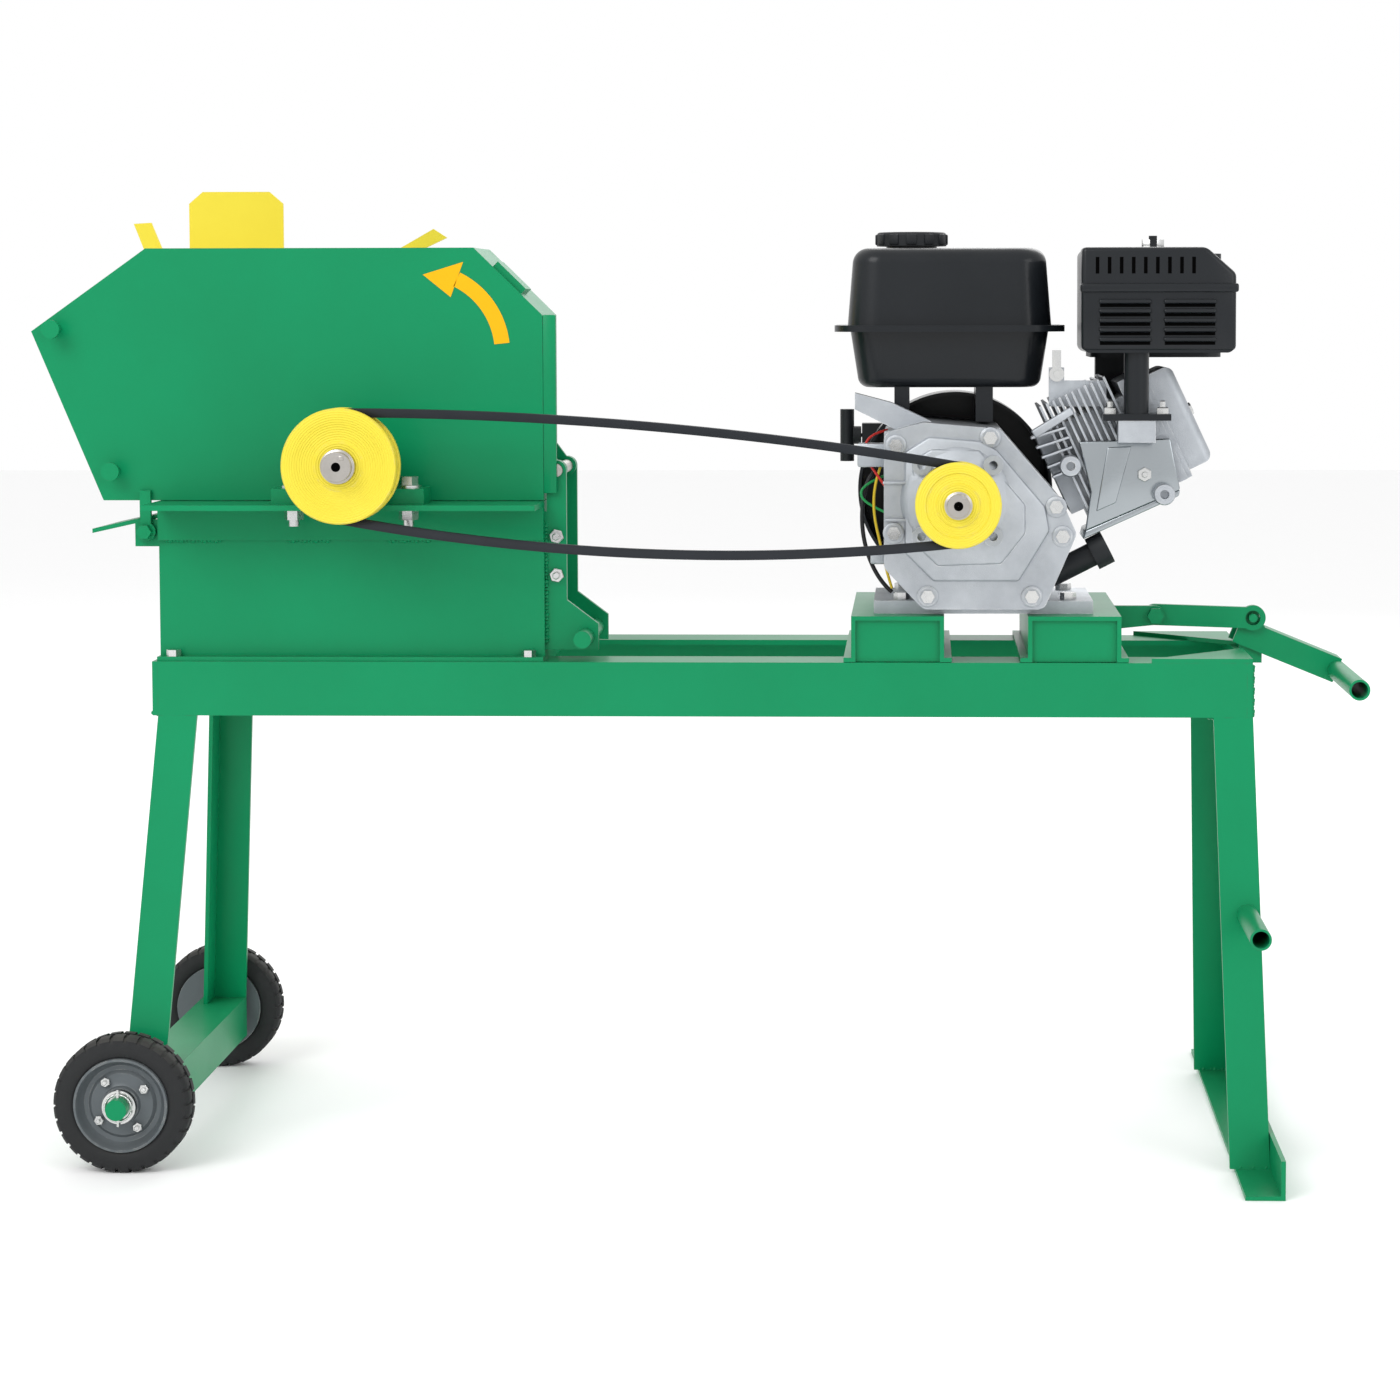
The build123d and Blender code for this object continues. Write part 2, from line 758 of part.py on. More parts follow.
hook_places = ((nose[0] + 23.0, nose[1] + 2.0), (head_left - mouth_reach + 11.0, head_top + 28.0))
with BuildPart() as bag_hooks:
    for hook_x, hook_z in hook_places:
        rod_y(hook_x, hook_z, hook_radius, (head_near - 16.0, head_near))
        rod_y(hook_x, hook_z, hook_radius * 1.7, (head_near - 20.0, head_near - 16.0))
bag_hooks.part.label = "bag_hooks"
export_step(bag_hooks.part, "parts/bag_hooks.step")

with BuildPart() as bed_knife:
    block(infeed_x, (-42.0, head_far - plate_wall), (infeed_z[0] - 10.0, infeed_z[0]))
bed_knife.part.label = "bed_knife"
export_step(bed_knife.part, "parts/bed_knife.step")

# The feed hopper widens from the opening in the far plate to a mouth with bent lips.
mouth_x = (head_left - mouth_left, infeed_x[1] + mouth_right)
mouth_z = (infeed_z[0] + mouth_rise, cover_top)
mouth_y = head_far + hopper_depth


def rectangle_at(y, x, z):
    """A rectangle facing along Y, between x and z limits."""
    with BuildSketch(Plane.XZ.offset(-y)) as frame_face:
        with Locations(((x[0] + x[1]) / 2, (z[0] + z[1]) / 2)):
            Rectangle(x[1] - x[0], z[1] - z[0])
    return frame_face.sketch.face()


def grown(limits, amount):
    """Limits moved outwards at both ends."""
    return (limits[0] - amount, limits[1] + amount)


lip_foot = mouth_z[1] + hopper_wall
lip_y = (mouth_y - hopper_wall, mouth_y)
plate_left = mouth_x[0] + 42.0
plate_right = plate_left + feed_plate_width
plate_top = lip_foot + feed_plate_height
with BuildPart() as infeed_hopper:
    loft(
        [
            rectangle_at(head_far, grown(infeed_x, hopper_wall), grown(infeed_z, hopper_wall)),
            rectangle_at(mouth_y, grown(mouth_x, hopper_wall), grown(mouth_z, hopper_wall)),
        ]
    )
    loft(
        [
            rectangle_at(head_far, infeed_x, infeed_z),
            rectangle_at(mouth_y, mouth_x, mouth_z),
        ],
        mode=Mode.SUBTRACT,
    )
    plate_y(
        [
            (plate_left, lip_foot - hopper_wall),
            (plate_left, plate_top - 12.0),
            (plate_left + 14.0, plate_top),
            (plate_right - 14.0, plate_top),
            (plate_right, plate_top - 12.0),
            (plate_right, lip_foot - hopper_wall),
        ],
        lip_y,
    )
    plate_y(
        [
            (mouth_x[0] - 3.0, lip_foot - hopper_wall),
            (mouth_x[0] - 15.0, lip_foot + 28.0),
            (mouth_x[0] + 3.0, lip_foot + 29.0),
            (mouth_x[0] + 16.0, lip_foot - hopper_wall),
        ],
        lip_y,
    )
    plate_y(
        [
            (mouth_x[1] - 24.0, lip_foot - hopper_wall),
            (mouth_x[1] + 20.0, lip_foot + 22.0),
            (mouth_x[1] + 34.0, lip_foot + 13.0),
            (mouth_x[1], lip_foot - hopper_wall),
        ],
        lip_y,
    )
infeed_hopper.part.label = "infeed_hopper"
export_step(infeed_hopper.part, "parts/infeed_hopper.step")

with BuildPart() as cover_latch:
    latch_x = head_left - 11.0
    latch_z = head_top - latch_drop
    latch_ends = (head_near - 6.0, head_near - side_clearance)
    block((latch_x - 5.0, latch_x + 5.0), latch_ends, (latch_z, latch_z + latch_reach))
    rod_y(latch_x, latch_z, 9.0, latch_ends)
    rod_y(latch_x, latch_z, latch_radius, (head_near - 14.0, head_near + plate_wall + 4.0))
    hex_y(latch_x, latch_z, 7.0, (head_near - 14.0, head_near - 6.0))
cover_latch.part.label = "cover_latch"
export_step(cover_latch.part, "parts/cover_latch.step")

# ---------------------------------------------------------------- rotor
disc_far = head_near + disc_setback
disc_near = disc_far - disc_wall
with BuildPart() as rotor_shaft:
    rod_y(shaft_x, shaft_z, shaft_radius, (pulley_near - 12.0, block_far_y + block_width / 2 + 6.0))
rotor_shaft.part.label = "rotor_shaft"
export_step(rotor_shaft.part, "parts/rotor_shaft.step")

with BuildPart() as rotor_disc:
    rod_y(shaft_x, shaft_z, disc_radius, (disc_near, disc_far))
    rod_y(shaft_x, shaft_z, rotor_hub_radius, (disc_near - 24.0, disc_far + 5.0))
    for turn in (45, 135, 225, 315):
        spot = Location((shaft_x, disc_near - 16.0, shaft_z), (0, turn, 0))
        with Locations(spot * Location((100.0, 0, 0))):
            Box(86.0, 32.0, 5.0)
    for turn in (0, 180):
        spot = Location((shaft_x, disc_near, shaft_z), (0, turn, 0))
        with Locations(spot * Location((knife_centre, 0, 26.0))):
            Box(knife_span, 4 * disc_wall, 12.0, mode=Mode.SUBTRACT)
    rod_y(shaft_x, shaft_z, shaft_radius, (disc_near - 40.0, disc_far + 40.0), Mode.SUBTRACT)
rotor_disc.part.label = "rotor_disc"
export_step(rotor_disc.part, "parts/rotor_disc.step")

with BuildPart() as rotor_knives:
    for turn in (0, 180):
        spot = Location((shaft_x, disc_far + knife_wall / 2, shaft_z), (0, turn, 0))
        with Locations(spot * Location((knife_centre, 0, 0))):
            Box(knife_span, knife_wall, knife_width)
rotor_knives.part.label = "rotor_knives"
export_step(rotor_knives.part, "parts/rotor_knives.step")


def pulley(x, z, radius, bore):
    """A single-groove V-belt pulley, centred on the belt plane."""
    rod_y(x, z, radius, (pulley_near, pulley_far))
    groove = groove_width / 2
    rod_y(x, z, radius, (belt_plane - groove, belt_plane + groove), Mode.SUBTRACT)
    rod_y(x, z, radius - groove_depth, (belt_plane - groove, belt_plane + groove))
    rod_y(x, z, bore, (pulley_near, pulley_far), Mode.SUBTRACT)


with BuildPart() as chopper_pulley:
    pulley(shaft_x, shaft_z, chopper_pulley_radius, shaft_radius)
chopper_pulley.part.label = "chopper_pulley"
export_step(chopper_pulley.part, "parts/chopper_pulley.step")

# ---------------------------------------------------------------- engine carriage
engine_bolt_xs = (block_left_x + 3.5, block_right_x - 4.0)
base_bolt_spots = [(x, y) for x in engine_bolt_xs for y in (-76.0, 22.0)]
lug_y = (-14.0, -7.0)
link_y = (-6.0, 0.0)
lug_x = block_right_x + block_half + lug_reach
lug_z = carriage_top - lug_drop
pin_hole = pin_radius + running_clearance

with BuildPart() as carriage_blocks:
    for block_x in (block_left_x, block_right_x):
        low = carriage_bottom
        left = block_x - block_half
        right = block_x + block_half
        plate_y(
            [
                (left - carriage_flange, low),
                (left + carriage_wall, low),
                (left + carriage_wall, carriage_top - carriage_wall),
                (right - carriage_wall, carriage_top - carriage_wall),
                (right - carriage_wall, low),
                (right + carriage_flange, low),
                (right + carriage_flange, low + carriage_wall),
                (right, low + carriage_wall),
                (right, carriage_top),
                (left, carriage_top),
                (left, low + carriage_wall),
                (left - carriage_flange, low + carriage_wall),
            ],
            (-half_width, half_width),
        )
        for side in (-1, 1):
            end_wall_y = sorted((side * (half_width - 4.0), side * (half_width - 4.0 - carriage_wall)))
            block((left, right), end_wall_y, (low, carriage_top))
    for bolt_x, bolt_y in base_bolt_spots:
        hole = engine_bolt_radius + bolt_clearance
        rod_z(bolt_x, bolt_y, hole, (carriage_top - carriage_wall, carriage_top), Mode.SUBTRACT)
    plate_y(
        [
            (block_right_x + block_half, lug_z - 13.0),
            (lug_x, lug_z - 9.0),
            (lug_x, lug_z + 9.0),
            (block_right_x + block_half, lug_z + 9.0),
        ],
        lug_y,
    )
    rod_y(lug_x, lug_z, 9.0, lug_y)
    rod_y(lug_x, lug_z, pin_hole, lug_y, Mode.SUBTRACT)
carriage_blocks.part.label = "carriage_blocks"
export_step(carriage_blocks.part, "parts/carriage_blocks.step")

# ---------------------------------------------------------------- engine
case_outline = [
    (crank_x - 67.0, crank_z + 61.0),
    (crank_x - 31.0, crank_z + 71.0),
    (crank_x + 39.0, crank_z + 65.0),
    (crank_x + 95.0, crank_z),
    (crank_x + 109.0, crank_z - 31.0),
    (crank_x + 79.0, carriage_top + 6.0),
    (crank_x - 31.0, carriage_top + 6.0),
    (crank_x - 67.0, crank_z - 62.0),
]
cover_face = mount_face + mount_wall
case_near = cover_face + side_cover_wall
foot_top = carriage_top + engine_foot_wall
engine_bolt_hole = engine_bolt_radius + bolt_clearance
seal_radius = crank_radius + running_clearance

with BuildPart() as side_cover:
    plate_y(case_outline, (cover_face, case_near))
    fillet(side_cover.edges().filter_by(Axis.Y), radius=case_round)
    rod_y(crank_x, crank_z, 3 * crank_radius, (mount_face, cover_face))
    for turn in (45, 135, 225, 315):
        boss_x = crank_x + mount_boss_circle * cos(radians(turn))
        boss_z = crank_z + mount_boss_circle * sin(radians(turn))
        rod_y(boss_x, boss_z, mount_boss_radius, (mount_face, cover_face))
        rod_y(boss_x, boss_z, engine_bolt_radius, (mount_face, cover_face), Mode.SUBTRACT)
    rod_y(crank_x, crank_z, seal_radius, (mount_face, case_near), Mode.SUBTRACT)
side_cover.part.label = "side_cover"
export_step(side_cover.part, "parts/side_cover.step")

# The case stands on cast feet, and a sloping ear at its left reaches up to the tank.
with BuildPart() as crankcase:
    plate_y(case_outline, (case_near, case_far))
    foot_x = (block_left_x - 22.0, block_right_x + 18.0)
    block(foot_x, (case_near, 38.0), (carriage_top, foot_top))
    plate_y(
        [
            (crank_x - 94.0, crank_z + 97.0),
            (crank_x - 94.0, crank_z + 82.0),
            (crank_x - 50.0, crank_z + 60.0),
            (crank_x - 20.0, crank_z + 60.0),
            (crank_x - 24.0, crank_z + 71.0),
            (crank_x - 60.0, crank_z + 88.0),
        ],
        (case_near + 8.0, case_near + 32.0),
    )
    rod_y(crank_x, crank_z, crank_radius + crank_bore_clearance, (case_near, -40.0), Mode.SUBTRACT)
    for bolt_x, bolt_y in base_bolt_spots:
        rod_z(bolt_x, bolt_y, engine_bolt_hole, (carriage_top, foot_top), Mode.SUBTRACT)
crankcase.part.label = "crankcase"
export_step(crankcase.part, "parts/crankcase.step")

# The finned cylinder leans up to the right; the valve cover closes its head.
tilt = radians(cylinder_tilt)


def along_cylinder(distance, across):
    """A point beside the cylinder's axis, measured from the foot of the axis below the crankshaft."""
    side = across + cylinder_offset
    x = crank_x + distance * cos(tilt) - side * sin(tilt)
    return (x, crank_z + distance * sin(tilt) + side * cos(tilt))


def cylinder_plate(start, end, half_height, half_depth):
    """A flat slab square to the cylinder's axis."""
    plate_y(
        [
            along_cylinder(start, -half_height),
            along_cylinder(end, -half_height),
            along_cylinder(end, half_height),
            along_cylinder(start, half_height),
        ],
        (cylinder_y - half_depth, cylinder_y + half_depth),
    )


fins_end = barrel_start + fin_count * fin_pitch
head_end = fins_end + engine_head_length
control_x = crank_x + control_reach
control_z = crank_z + control_rise
control_y = (cylinder_y - fin_half_depth + 10.0, cylinder_y - fin_half_depth + 15.0)
port_x = (crank_x + pipe_reach - 17.0, crank_x + pipe_reach + 17.0)
flange_z = crank_z + exhaust_flange_rise
with BuildPart() as cylinder:
    cylinder_plate(barrel_start - 14.0, head_end, barrel_half, barrel_half + 2.0)
    for fin in range(fin_count):
        fin_start = barrel_start + fin * fin_pitch
        cylinder_plate(fin_start, fin_start + fin_wall, fin_half_height, fin_half_depth)
    cylinder_plate(fins_end + 4.0, head_end, engine_head_half_height, engine_head_half_depth)
    block(port_x, (pipe_y - pipe_radius, cylinder_y - barrel_half), (flange_z - 20.0, flange_z))
    block((control_x - 7.0, control_x + 46.0), control_y, (crank_z + 84.0, control_z - 6.0))
    block((control_x - 7.0, control_x + 7.0), control_y, (control_z - 6.0, control_z + 6.0))
    rod_y(control_x, control_z, 3.0 + running_clearance, control_y, Mode.SUBTRACT)
    plate_y(case_outline, (case_near - 1.0, case_far + 1.0), Mode.SUBTRACT)
cylinder.part.label = "cylinder"
export_step(cylinder.part, "parts/cylinder.step")

with BuildPart() as valve_cover:
    cylinder_plate(head_end, head_end + 5.0, valve_cover_half_height + 6.0, valve_cover_half_depth + 6.0)
    cylinder_plate(
        head_end + 5.0,
        head_end + valve_cover_length,
        valve_cover_half_height,
        valve_cover_half_depth,
    )
    cylinder_axis = Axis((0, 0, 0), (cos(tilt), 0, sin(tilt)))
    fillet(valve_cover.faces().sort_by(cylinder_axis)[-1].edges(), radius=9.0)
valve_cover.part.label = "valve_cover"
export_step(valve_cover.part, "parts/valve_cover.step")

with BuildPart() as fan_shroud:
    rod_y(crank_x, crank_z, shroud_radius, (case_far, shroud_far))
    fillet(fan_shroud.edges().group_by(Axis.Y)[-1], radius=10.0)
    rod_y(crank_x, crank_z, shroud_radius - shroud_wall, (case_far, shroud_far - shroud_wall), Mode.SUBTRACT)
fan_shroud.part.label = "fan_shroud"
export_step(fan_shroud.part, "parts/fan_shroud.step")

# The starter's rope leaves the housing through a guide on its left.
grip_z = crank_z + grip_rise
grip_y = shroud_far + recoil_depth / 2
guide_left = crank_x - recoil_radius - 12.0
with BuildPart() as recoil_starter:
    rod_y(crank_x, crank_z, recoil_radius, (shroud_far, shroud_far + recoil_depth))
    fillet(recoil_starter.edges().group_by(Axis.Y)[-1], radius=12.0)
    block((guide_left, crank_x - 30.0), (grip_y - 12.0, grip_y + 12.0), (grip_z - 12.0, grip_z + 12.0))
    rod_x(grip_y, grip_z, rope_radius + 1.5, (guide_left, crank_x + 10.0), Mode.SUBTRACT)
recoil_starter.part.label = "recoil_starter"
export_step(recoil_starter.part, "parts/recoil_starter.step")

grip_right = guide_left - side_clearance
with BuildPart() as starter_grip:
    rod_x(grip_y, grip_z, rope_radius, (grip_right - 2.0, crank_x))
    rod_x(grip_y, grip_z, grip_radius + 2.0, (grip_right - 8.0, grip_right))
    grip_ends = (grip_z - grip_half_length, grip_z + grip_half_length)
    rod_z(grip_right - 2 * grip_radius, grip_y, grip_radius, grip_ends)
starter_grip.part.label = "starter_grip"
export_step(starter_grip.part, "parts/starter_grip.step")

# Fuel tank: two pressed shells joined at a seam, on two feet over the crankcase.
tank_x = (crank_x - tank_left, crank_x + tank_right)
seam_z = crank_z + seam_rise
tank_top = crank_z + tank_top_rise
tank_bottom = crank_z + tank_bottom_rise
neck_x = crank_x - neck_reach


def tank_level(z, inset, corner):
    """A rounded rectangle, one level of the tank."""
    with BuildSketch(Plane.XY.offset(z)) as level:
        with Locations(((tank_x[0] + tank_x[1]) / 2, (tank_near + tank_far) / 2)):
            RectangleRounded(tank_x[1] - tank_x[0] - 2 * inset, tank_far - tank_near - 2 * inset, corner)
    return level.sketch


with BuildPart() as fuel_tank:
    loft([tank_level(seam_z, 0, 30.0).face(), tank_level(tank_top, 6.0, 26.0).face()])
    fillet(fuel_tank.edges().group_by(Axis.Z)[-1], radius=15.0)
    extrude(tank_level(seam_z - 3.0, -seam_reach, 36.0), amount=6.0)
    loft([tank_level(tank_bottom, 11.0, 24.0).face(), tank_level(seam_z - 3.0, 3.0, 28.0).face()])
    fillet(fuel_tank.edges().group_by(Axis.Z)[0], radius=10.0)
    rod_z(neck_x, neck_y, neck_radius, (tank_top - 2.0, tank_top + 2.0))
    for foot_left, foot_right_edge in ((-58.0, -44.0), (18.0, 34.0)):
        block(
            (crank_x + foot_left, crank_x + foot_right_edge),
            (tank_near + 16.0, tank_far - 64.0),
            (crank_z + 69.0, tank_bottom + 2.0),
        )
fuel_tank.part.label = "fuel_tank"
export_step(fuel_tank.part, "parts/fuel_tank.step")

with BuildPart() as fuel_cap:
    cap_low = tank_top + 2.0 + bolt_clearance
    rod_z(neck_x, neck_y, cap_radius, (cap_low, cap_low + cap_height))
    fillet(fuel_cap.edges().group_by(Axis.Z)[-1], radius=3.0)
fuel_cap.part.label = "fuel_cap"
export_step(fuel_cap.part, "parts/fuel_cap.step")

# The silencer is carried by its pipe, whose flange rests on the port in front of the fins.
silencer_x = (crank_x + silencer_left, crank_x + silencer_right)
silencer_z = (crank_z + silencer_bottom_rise, crank_z + silencer_top_rise)
with BuildPart() as muffler:
    plate_y(
        [
            (silencer_x[0], silencer_z[0]),
            (silencer_x[1], silencer_z[0]),
            (silencer_x[1], silencer_z[1] - 24.0),
            (silencer_x[1] - 26.0, silencer_z[1]),
            (silencer_x[0], silencer_z[1]),
        ],
        (silencer_near, silencer_far),
    )
    fillet(muffler.edges().filter_by(Axis.Y), radius=7.0)
    rod_z(crank_x + pipe_reach, pipe_y, pipe_radius, (flange_z, silencer_z[0] + 2.0))
    block(
        (port_x[0] - 14.0, port_x[1] + 14.0),
        (pipe_y - pipe_radius - 1.0, cylinder_y - fin_half_depth),
        (flange_z, flange_z + exhaust_flange_wall),
    )
muffler.part.label = "muffler"
export_step(muffler.part, "parts/muffler.step")

# A duct joins the air cleaner to the far side of the cylinder.
cleaner_x = (crank_x + cleaner_left, crank_x + cleaner_right)
cleaner_z = (crank_z + cleaner_bottom_rise, crank_z + cleaner_top_rise)
cleaner_mid = ((cleaner_x[0] + cleaner_x[1]) / 2, (cleaner_near + cleaner_far) / 2)
duct_near = cylinder_y + fin_half_depth
with BuildPart() as air_cleaner:
    block(cleaner_x, (cleaner_near, cleaner_far), cleaner_z)
    fillet(air_cleaner.edges().filter_by(Axis.Z), radius=16.0)
    rod_z(cleaner_mid[0], cleaner_mid[1], 20.0, (cleaner_z[1], cleaner_z[1] + 4.0))
    rod_z(cleaner_mid[0], cleaner_mid[1], 4.0, (cleaner_z[1] + 4.0, cleaner_z[1] + 18.0))
    duct_x = (cleaner_x[0] + 6.0, cleaner_x[0] + 56.0)
    block(duct_x, (duct_near, duct_near + 16.0), (crank_z + 50.0, cleaner_z[0] + 2.0))
air_cleaner.part.label = "air_cleaner"
export_step(air_cleaner.part, "parts/air_cleaner.step")

filler_axis = Plane(
    origin=(crank_x + filler_reach, case_near + 24.0, crank_z - filler_drop),
    z_dir=(cos(radians(filler_tilt)), 0, sin(radians(filler_tilt))),
)
with BuildPart() as oil_filler:
    with BuildSketch(filler_axis) as tube_end:
        Circle(filler_radius)
    extrude(tube_end.sketch, amount=filler_length - 16.0)
    with BuildSketch(filler_axis.offset(filler_length - 16.0)) as cap_end:
        Circle(filler_radius + 4.5)
    extrude(cap_end.sketch, amount=16.0)
    plate_y(case_outline, (case_near - 1.0, case_far + 1.0), Mode.SUBTRACT)
oil_filler.part.label = "oil_filler"
export_step(oil_filler.part, "parts/oil_filler.step")

with BuildPart() as throttle_lever:
    lever_ends = (control_y[0] - 4.0, control_y[0] - side_clearance)
    block((control_x - 4.0, control_x + 4.0), lever_ends, (control_z, control_z + control_lever_reach))
    rod_y(control_x, control_z, 7.0, lever_ends)
    rod_y(control_x, control_z, 3.0, (control_y[0] - 7.0, control_y[1] + 2.0))
throttle_lever.part.label = "throttle_lever"
export_step(throttle_lever.part, "parts/throttle_lever.step")

cover_bolt_spots = [
    (crank_x - 56.0, crank_z + 50.0),
    (crank_x + 30.0, crank_z + 57.0),
    (crank_x + 90.0, crank_z - 6.0),
    (crank_x + 96.0, crank_z - 33.0),
    (crank_x + 68.0, crank_z - 88.0),
    (crank_x - 27.0, crank_z - 88.0),
    (crank_x - 58.0, crank_z - 30.0),
]
with BuildPart() as engine_bolts:
    for bolt_x, bolt_z in cover_bolt_spots:
        hex_y(bolt_x, bolt_z, 6.5, (cover_face - 6.0, cover_face))
    for bolt_x, bolt_y in base_bolt_spots:
        hex_z(bolt_x, bolt_y, 7.5, (foot_top, foot_top + 6.0))
        rod_z(bolt_x, bolt_y, engine_bolt_radius, (carriage_top - carriage_wall - 8.0, foot_top))
engine_bolts.part.label = "engine_bolts"
export_step(engine_bolts.part, "parts/engine_bolts.step")

with BuildPart() as crankshaft:
    rod_y(crank_x, crank_z, crank_radius, (pulley_near - 8.0, -44.0))
crankshaft.part.label = "crankshaft"
export_step(crankshaft.part, "parts/crankshaft.step")

with BuildPart() as engine_pulley:
    pulley(crank_x, crank_z, engine_pulley_radius, crank_radius)
engine_pulley.part.label = "engine_pulley"
export_step(engine_pulley.part, "parts/engine_pulley.step")

# ---------------------------------------------------------------- tension lever and link
arm_turn = radians(crank_arm_angle)
arm_x = pivot_x - crank_arm * sin(arm_turn)
arm_z = pivot_z + crank_arm * cos(arm_turn)
handle_end_x = pivot_x + lever_reach
handle_end_z = pivot_z - lever_drop
channel_y = (channel_near, channel_near + channel_width)
lever_length = hypot(lever_reach, lever_drop)
lever_way = (lever_reach / lever_length, -lever_drop / lever_length)


def on_lever(along, across):
    """A point beside the line from the lever's pivot to its handle."""
    x = pivot_x + along * lever_way[0] - across * lever_way[1]
    return (x, pivot_z + along * lever_way[1] + across * lever_way[0])


with BuildPart() as lever_bracket:
    inner = (channel_y[0] + channel_wall + side_clearance, channel_y[1] - channel_wall - side_clearance)
    for ends in ((inner[0], inner[0] + bracket_wall), (inner[1] - bracket_wall, inner[1])):
        block((end_right, pivot_x), ends, (pivot_z - 22.0, pivot_z + 7.0))
        rod_y(pivot_x, pivot_z, 7.0, ends)
        rod_y(pivot_x, pivot_z, pin_hole, ends, Mode.SUBTRACT)
lever_bracket.part.label = "lever_bracket"
export_step(lever_bracket.part, "parts/lever_bracket.step")

with BuildPart() as tension_lever:
    for ends in ((channel_y[0], channel_y[0] + channel_wall), (channel_y[1] - channel_wall, channel_y[1])):
        plate_y(
            [
                on_lever(-lever_tail, -lever_half_height),
                on_lever(lever_length, -lever_half_height),
                on_lever(lever_length, lever_half_height),
                on_lever(-lever_tail, lever_half_height),
            ],
            ends,
        )
    plate_y(
        [
            on_lever(-lever_tail, lever_half_height - channel_wall),
            on_lever(lever_length, lever_half_height - channel_wall),
            on_lever(lever_length, lever_half_height),
            on_lever(-lever_tail, lever_half_height),
        ],
        channel_y,
    )
    arm_ends = (channel_y[0], channel_y[0] + channel_wall)
    plate_y(
        [
            (pivot_x - 9.0, pivot_z),
            (pivot_x + 9.0, pivot_z),
            (arm_x + 7.0, arm_z),
            (arm_x - 7.0, arm_z),
        ],
        arm_ends,
    )
    rod_y(arm_x, arm_z, 7.0, arm_ends)
    rod_y(arm_x, arm_z, pin_radius, (link_y[0] - 3.0, channel_y[0]))
    rod_y(pivot_x, pivot_z, pin_radius, channel_y)
    rod_y(handle_end_x, handle_end_z, handle_tube_radius, (-150.0, 50.0))
    rod_y(handle_end_x, handle_end_z, handle_tube_radius - handle_tube_wall, (-150.0, 50.0), Mode.SUBTRACT)
tension_lever.part.label = "tension_lever"
export_step(tension_lever.part, "parts/tension_lever.step")

with BuildPart() as tension_link:
    eye = pin_radius + open_pivot_clearance
    plate_y(
        [
            (lug_x, lug_z - link_half_height),
            (arm_x, arm_z - link_half_height),
            (arm_x, arm_z + link_half_height),
            (lug_x, lug_z + link_half_height),
        ],
        link_y,
    )
    rod_y(lug_x, lug_z, link_half_height, link_y)
    rod_y(arm_x, arm_z, eye + 5.0, link_y)
    rod_y(arm_x, arm_z, eye, link_y, Mode.SUBTRACT)
    rod_y(lug_x, lug_z, pin_radius, (lug_y[0] - 6.0, link_y[1]))
    hex_y(lug_x, lug_z, 8.0, (lug_y[0] - 7.0, lug_y[0] - side_clearance))
tension_link.part.label = "tension_link"
export_step(tension_link.part, "parts/tension_link.step")

# ---------------------------------------------------------------- drive belt, slack

def belt_loop(depth):
    """The closed line of the slack belt, a depth below its outer face."""
    big = chopper_pulley_radius - belt_seat - depth
    small = engine_pulley_radius - belt_seat - depth
    span = crank_x - shaft_x
    top_lean = atan2(crank_z + small - shaft_z - big, span)
    low_lean = atan2(crank_z - small - shaft_z + big, span)
    top_turn = 4 * top_bow / span
    low_turn = 4 * low_bow / span

    def contact(x, z, radius, angle):
        return (x + radius * cos(angle), z + radius * sin(angle))

    quarter = radians(90)
    a = contact(shaft_x, shaft_z, big, quarter + top_lean + top_turn)
    b = contact(crank_x, crank_z, small, quarter + top_lean - top_turn)
    c = contact(crank_x, crank_z, small, -quarter + low_lean + low_turn)
    d = contact(shaft_x, shaft_z, big, -quarter + low_lean - low_turn)
    top_mid = ((a[0] + b[0]) / 2, (a[1] + b[1]) / 2 + top_bow)
    low_mid = ((c[0] + d[0]) / 2, (c[1] + d[1]) / 2 - low_bow)
    ThreePointArc(a, top_mid, b)
    ThreePointArc(b, (crank_x + small, crank_z), c)
    ThreePointArc(c, low_mid, d)
    ThreePointArc(d, (shaft_x - big, shaft_z), a)


with BuildPart() as drive_belt:
    with BuildSketch(Plane.XZ.offset(-(belt_plane + belt_width / 2))) as belt_outer:
        with BuildLine():
            belt_loop(0)
        make_face()
    with BuildSketch(Plane.XZ.offset(-(belt_plane + belt_width / 2))) as belt_inner:
        with BuildLine():
            belt_loop(belt_height)
        make_face()
    extrude(belt_outer.sketch, amount=belt_width, mode=Mode.REPLACE)
    extrude(belt_inner.sketch, amount=belt_width, mode=Mode.SUBTRACT)
drive_belt.part.label = "drive_belt"
export_step(drive_belt.part, "parts/drive_belt.step")
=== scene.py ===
# %% [markdown]
# A wood chipper on a two-wheel stand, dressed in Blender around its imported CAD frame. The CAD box
# is kept, to compare with the finished one.

# %% Load the frame
import bmesh
import bpy
import json
from math import atan2, cos, hypot, pi, radians, sin
from mathutils import Matrix, Vector


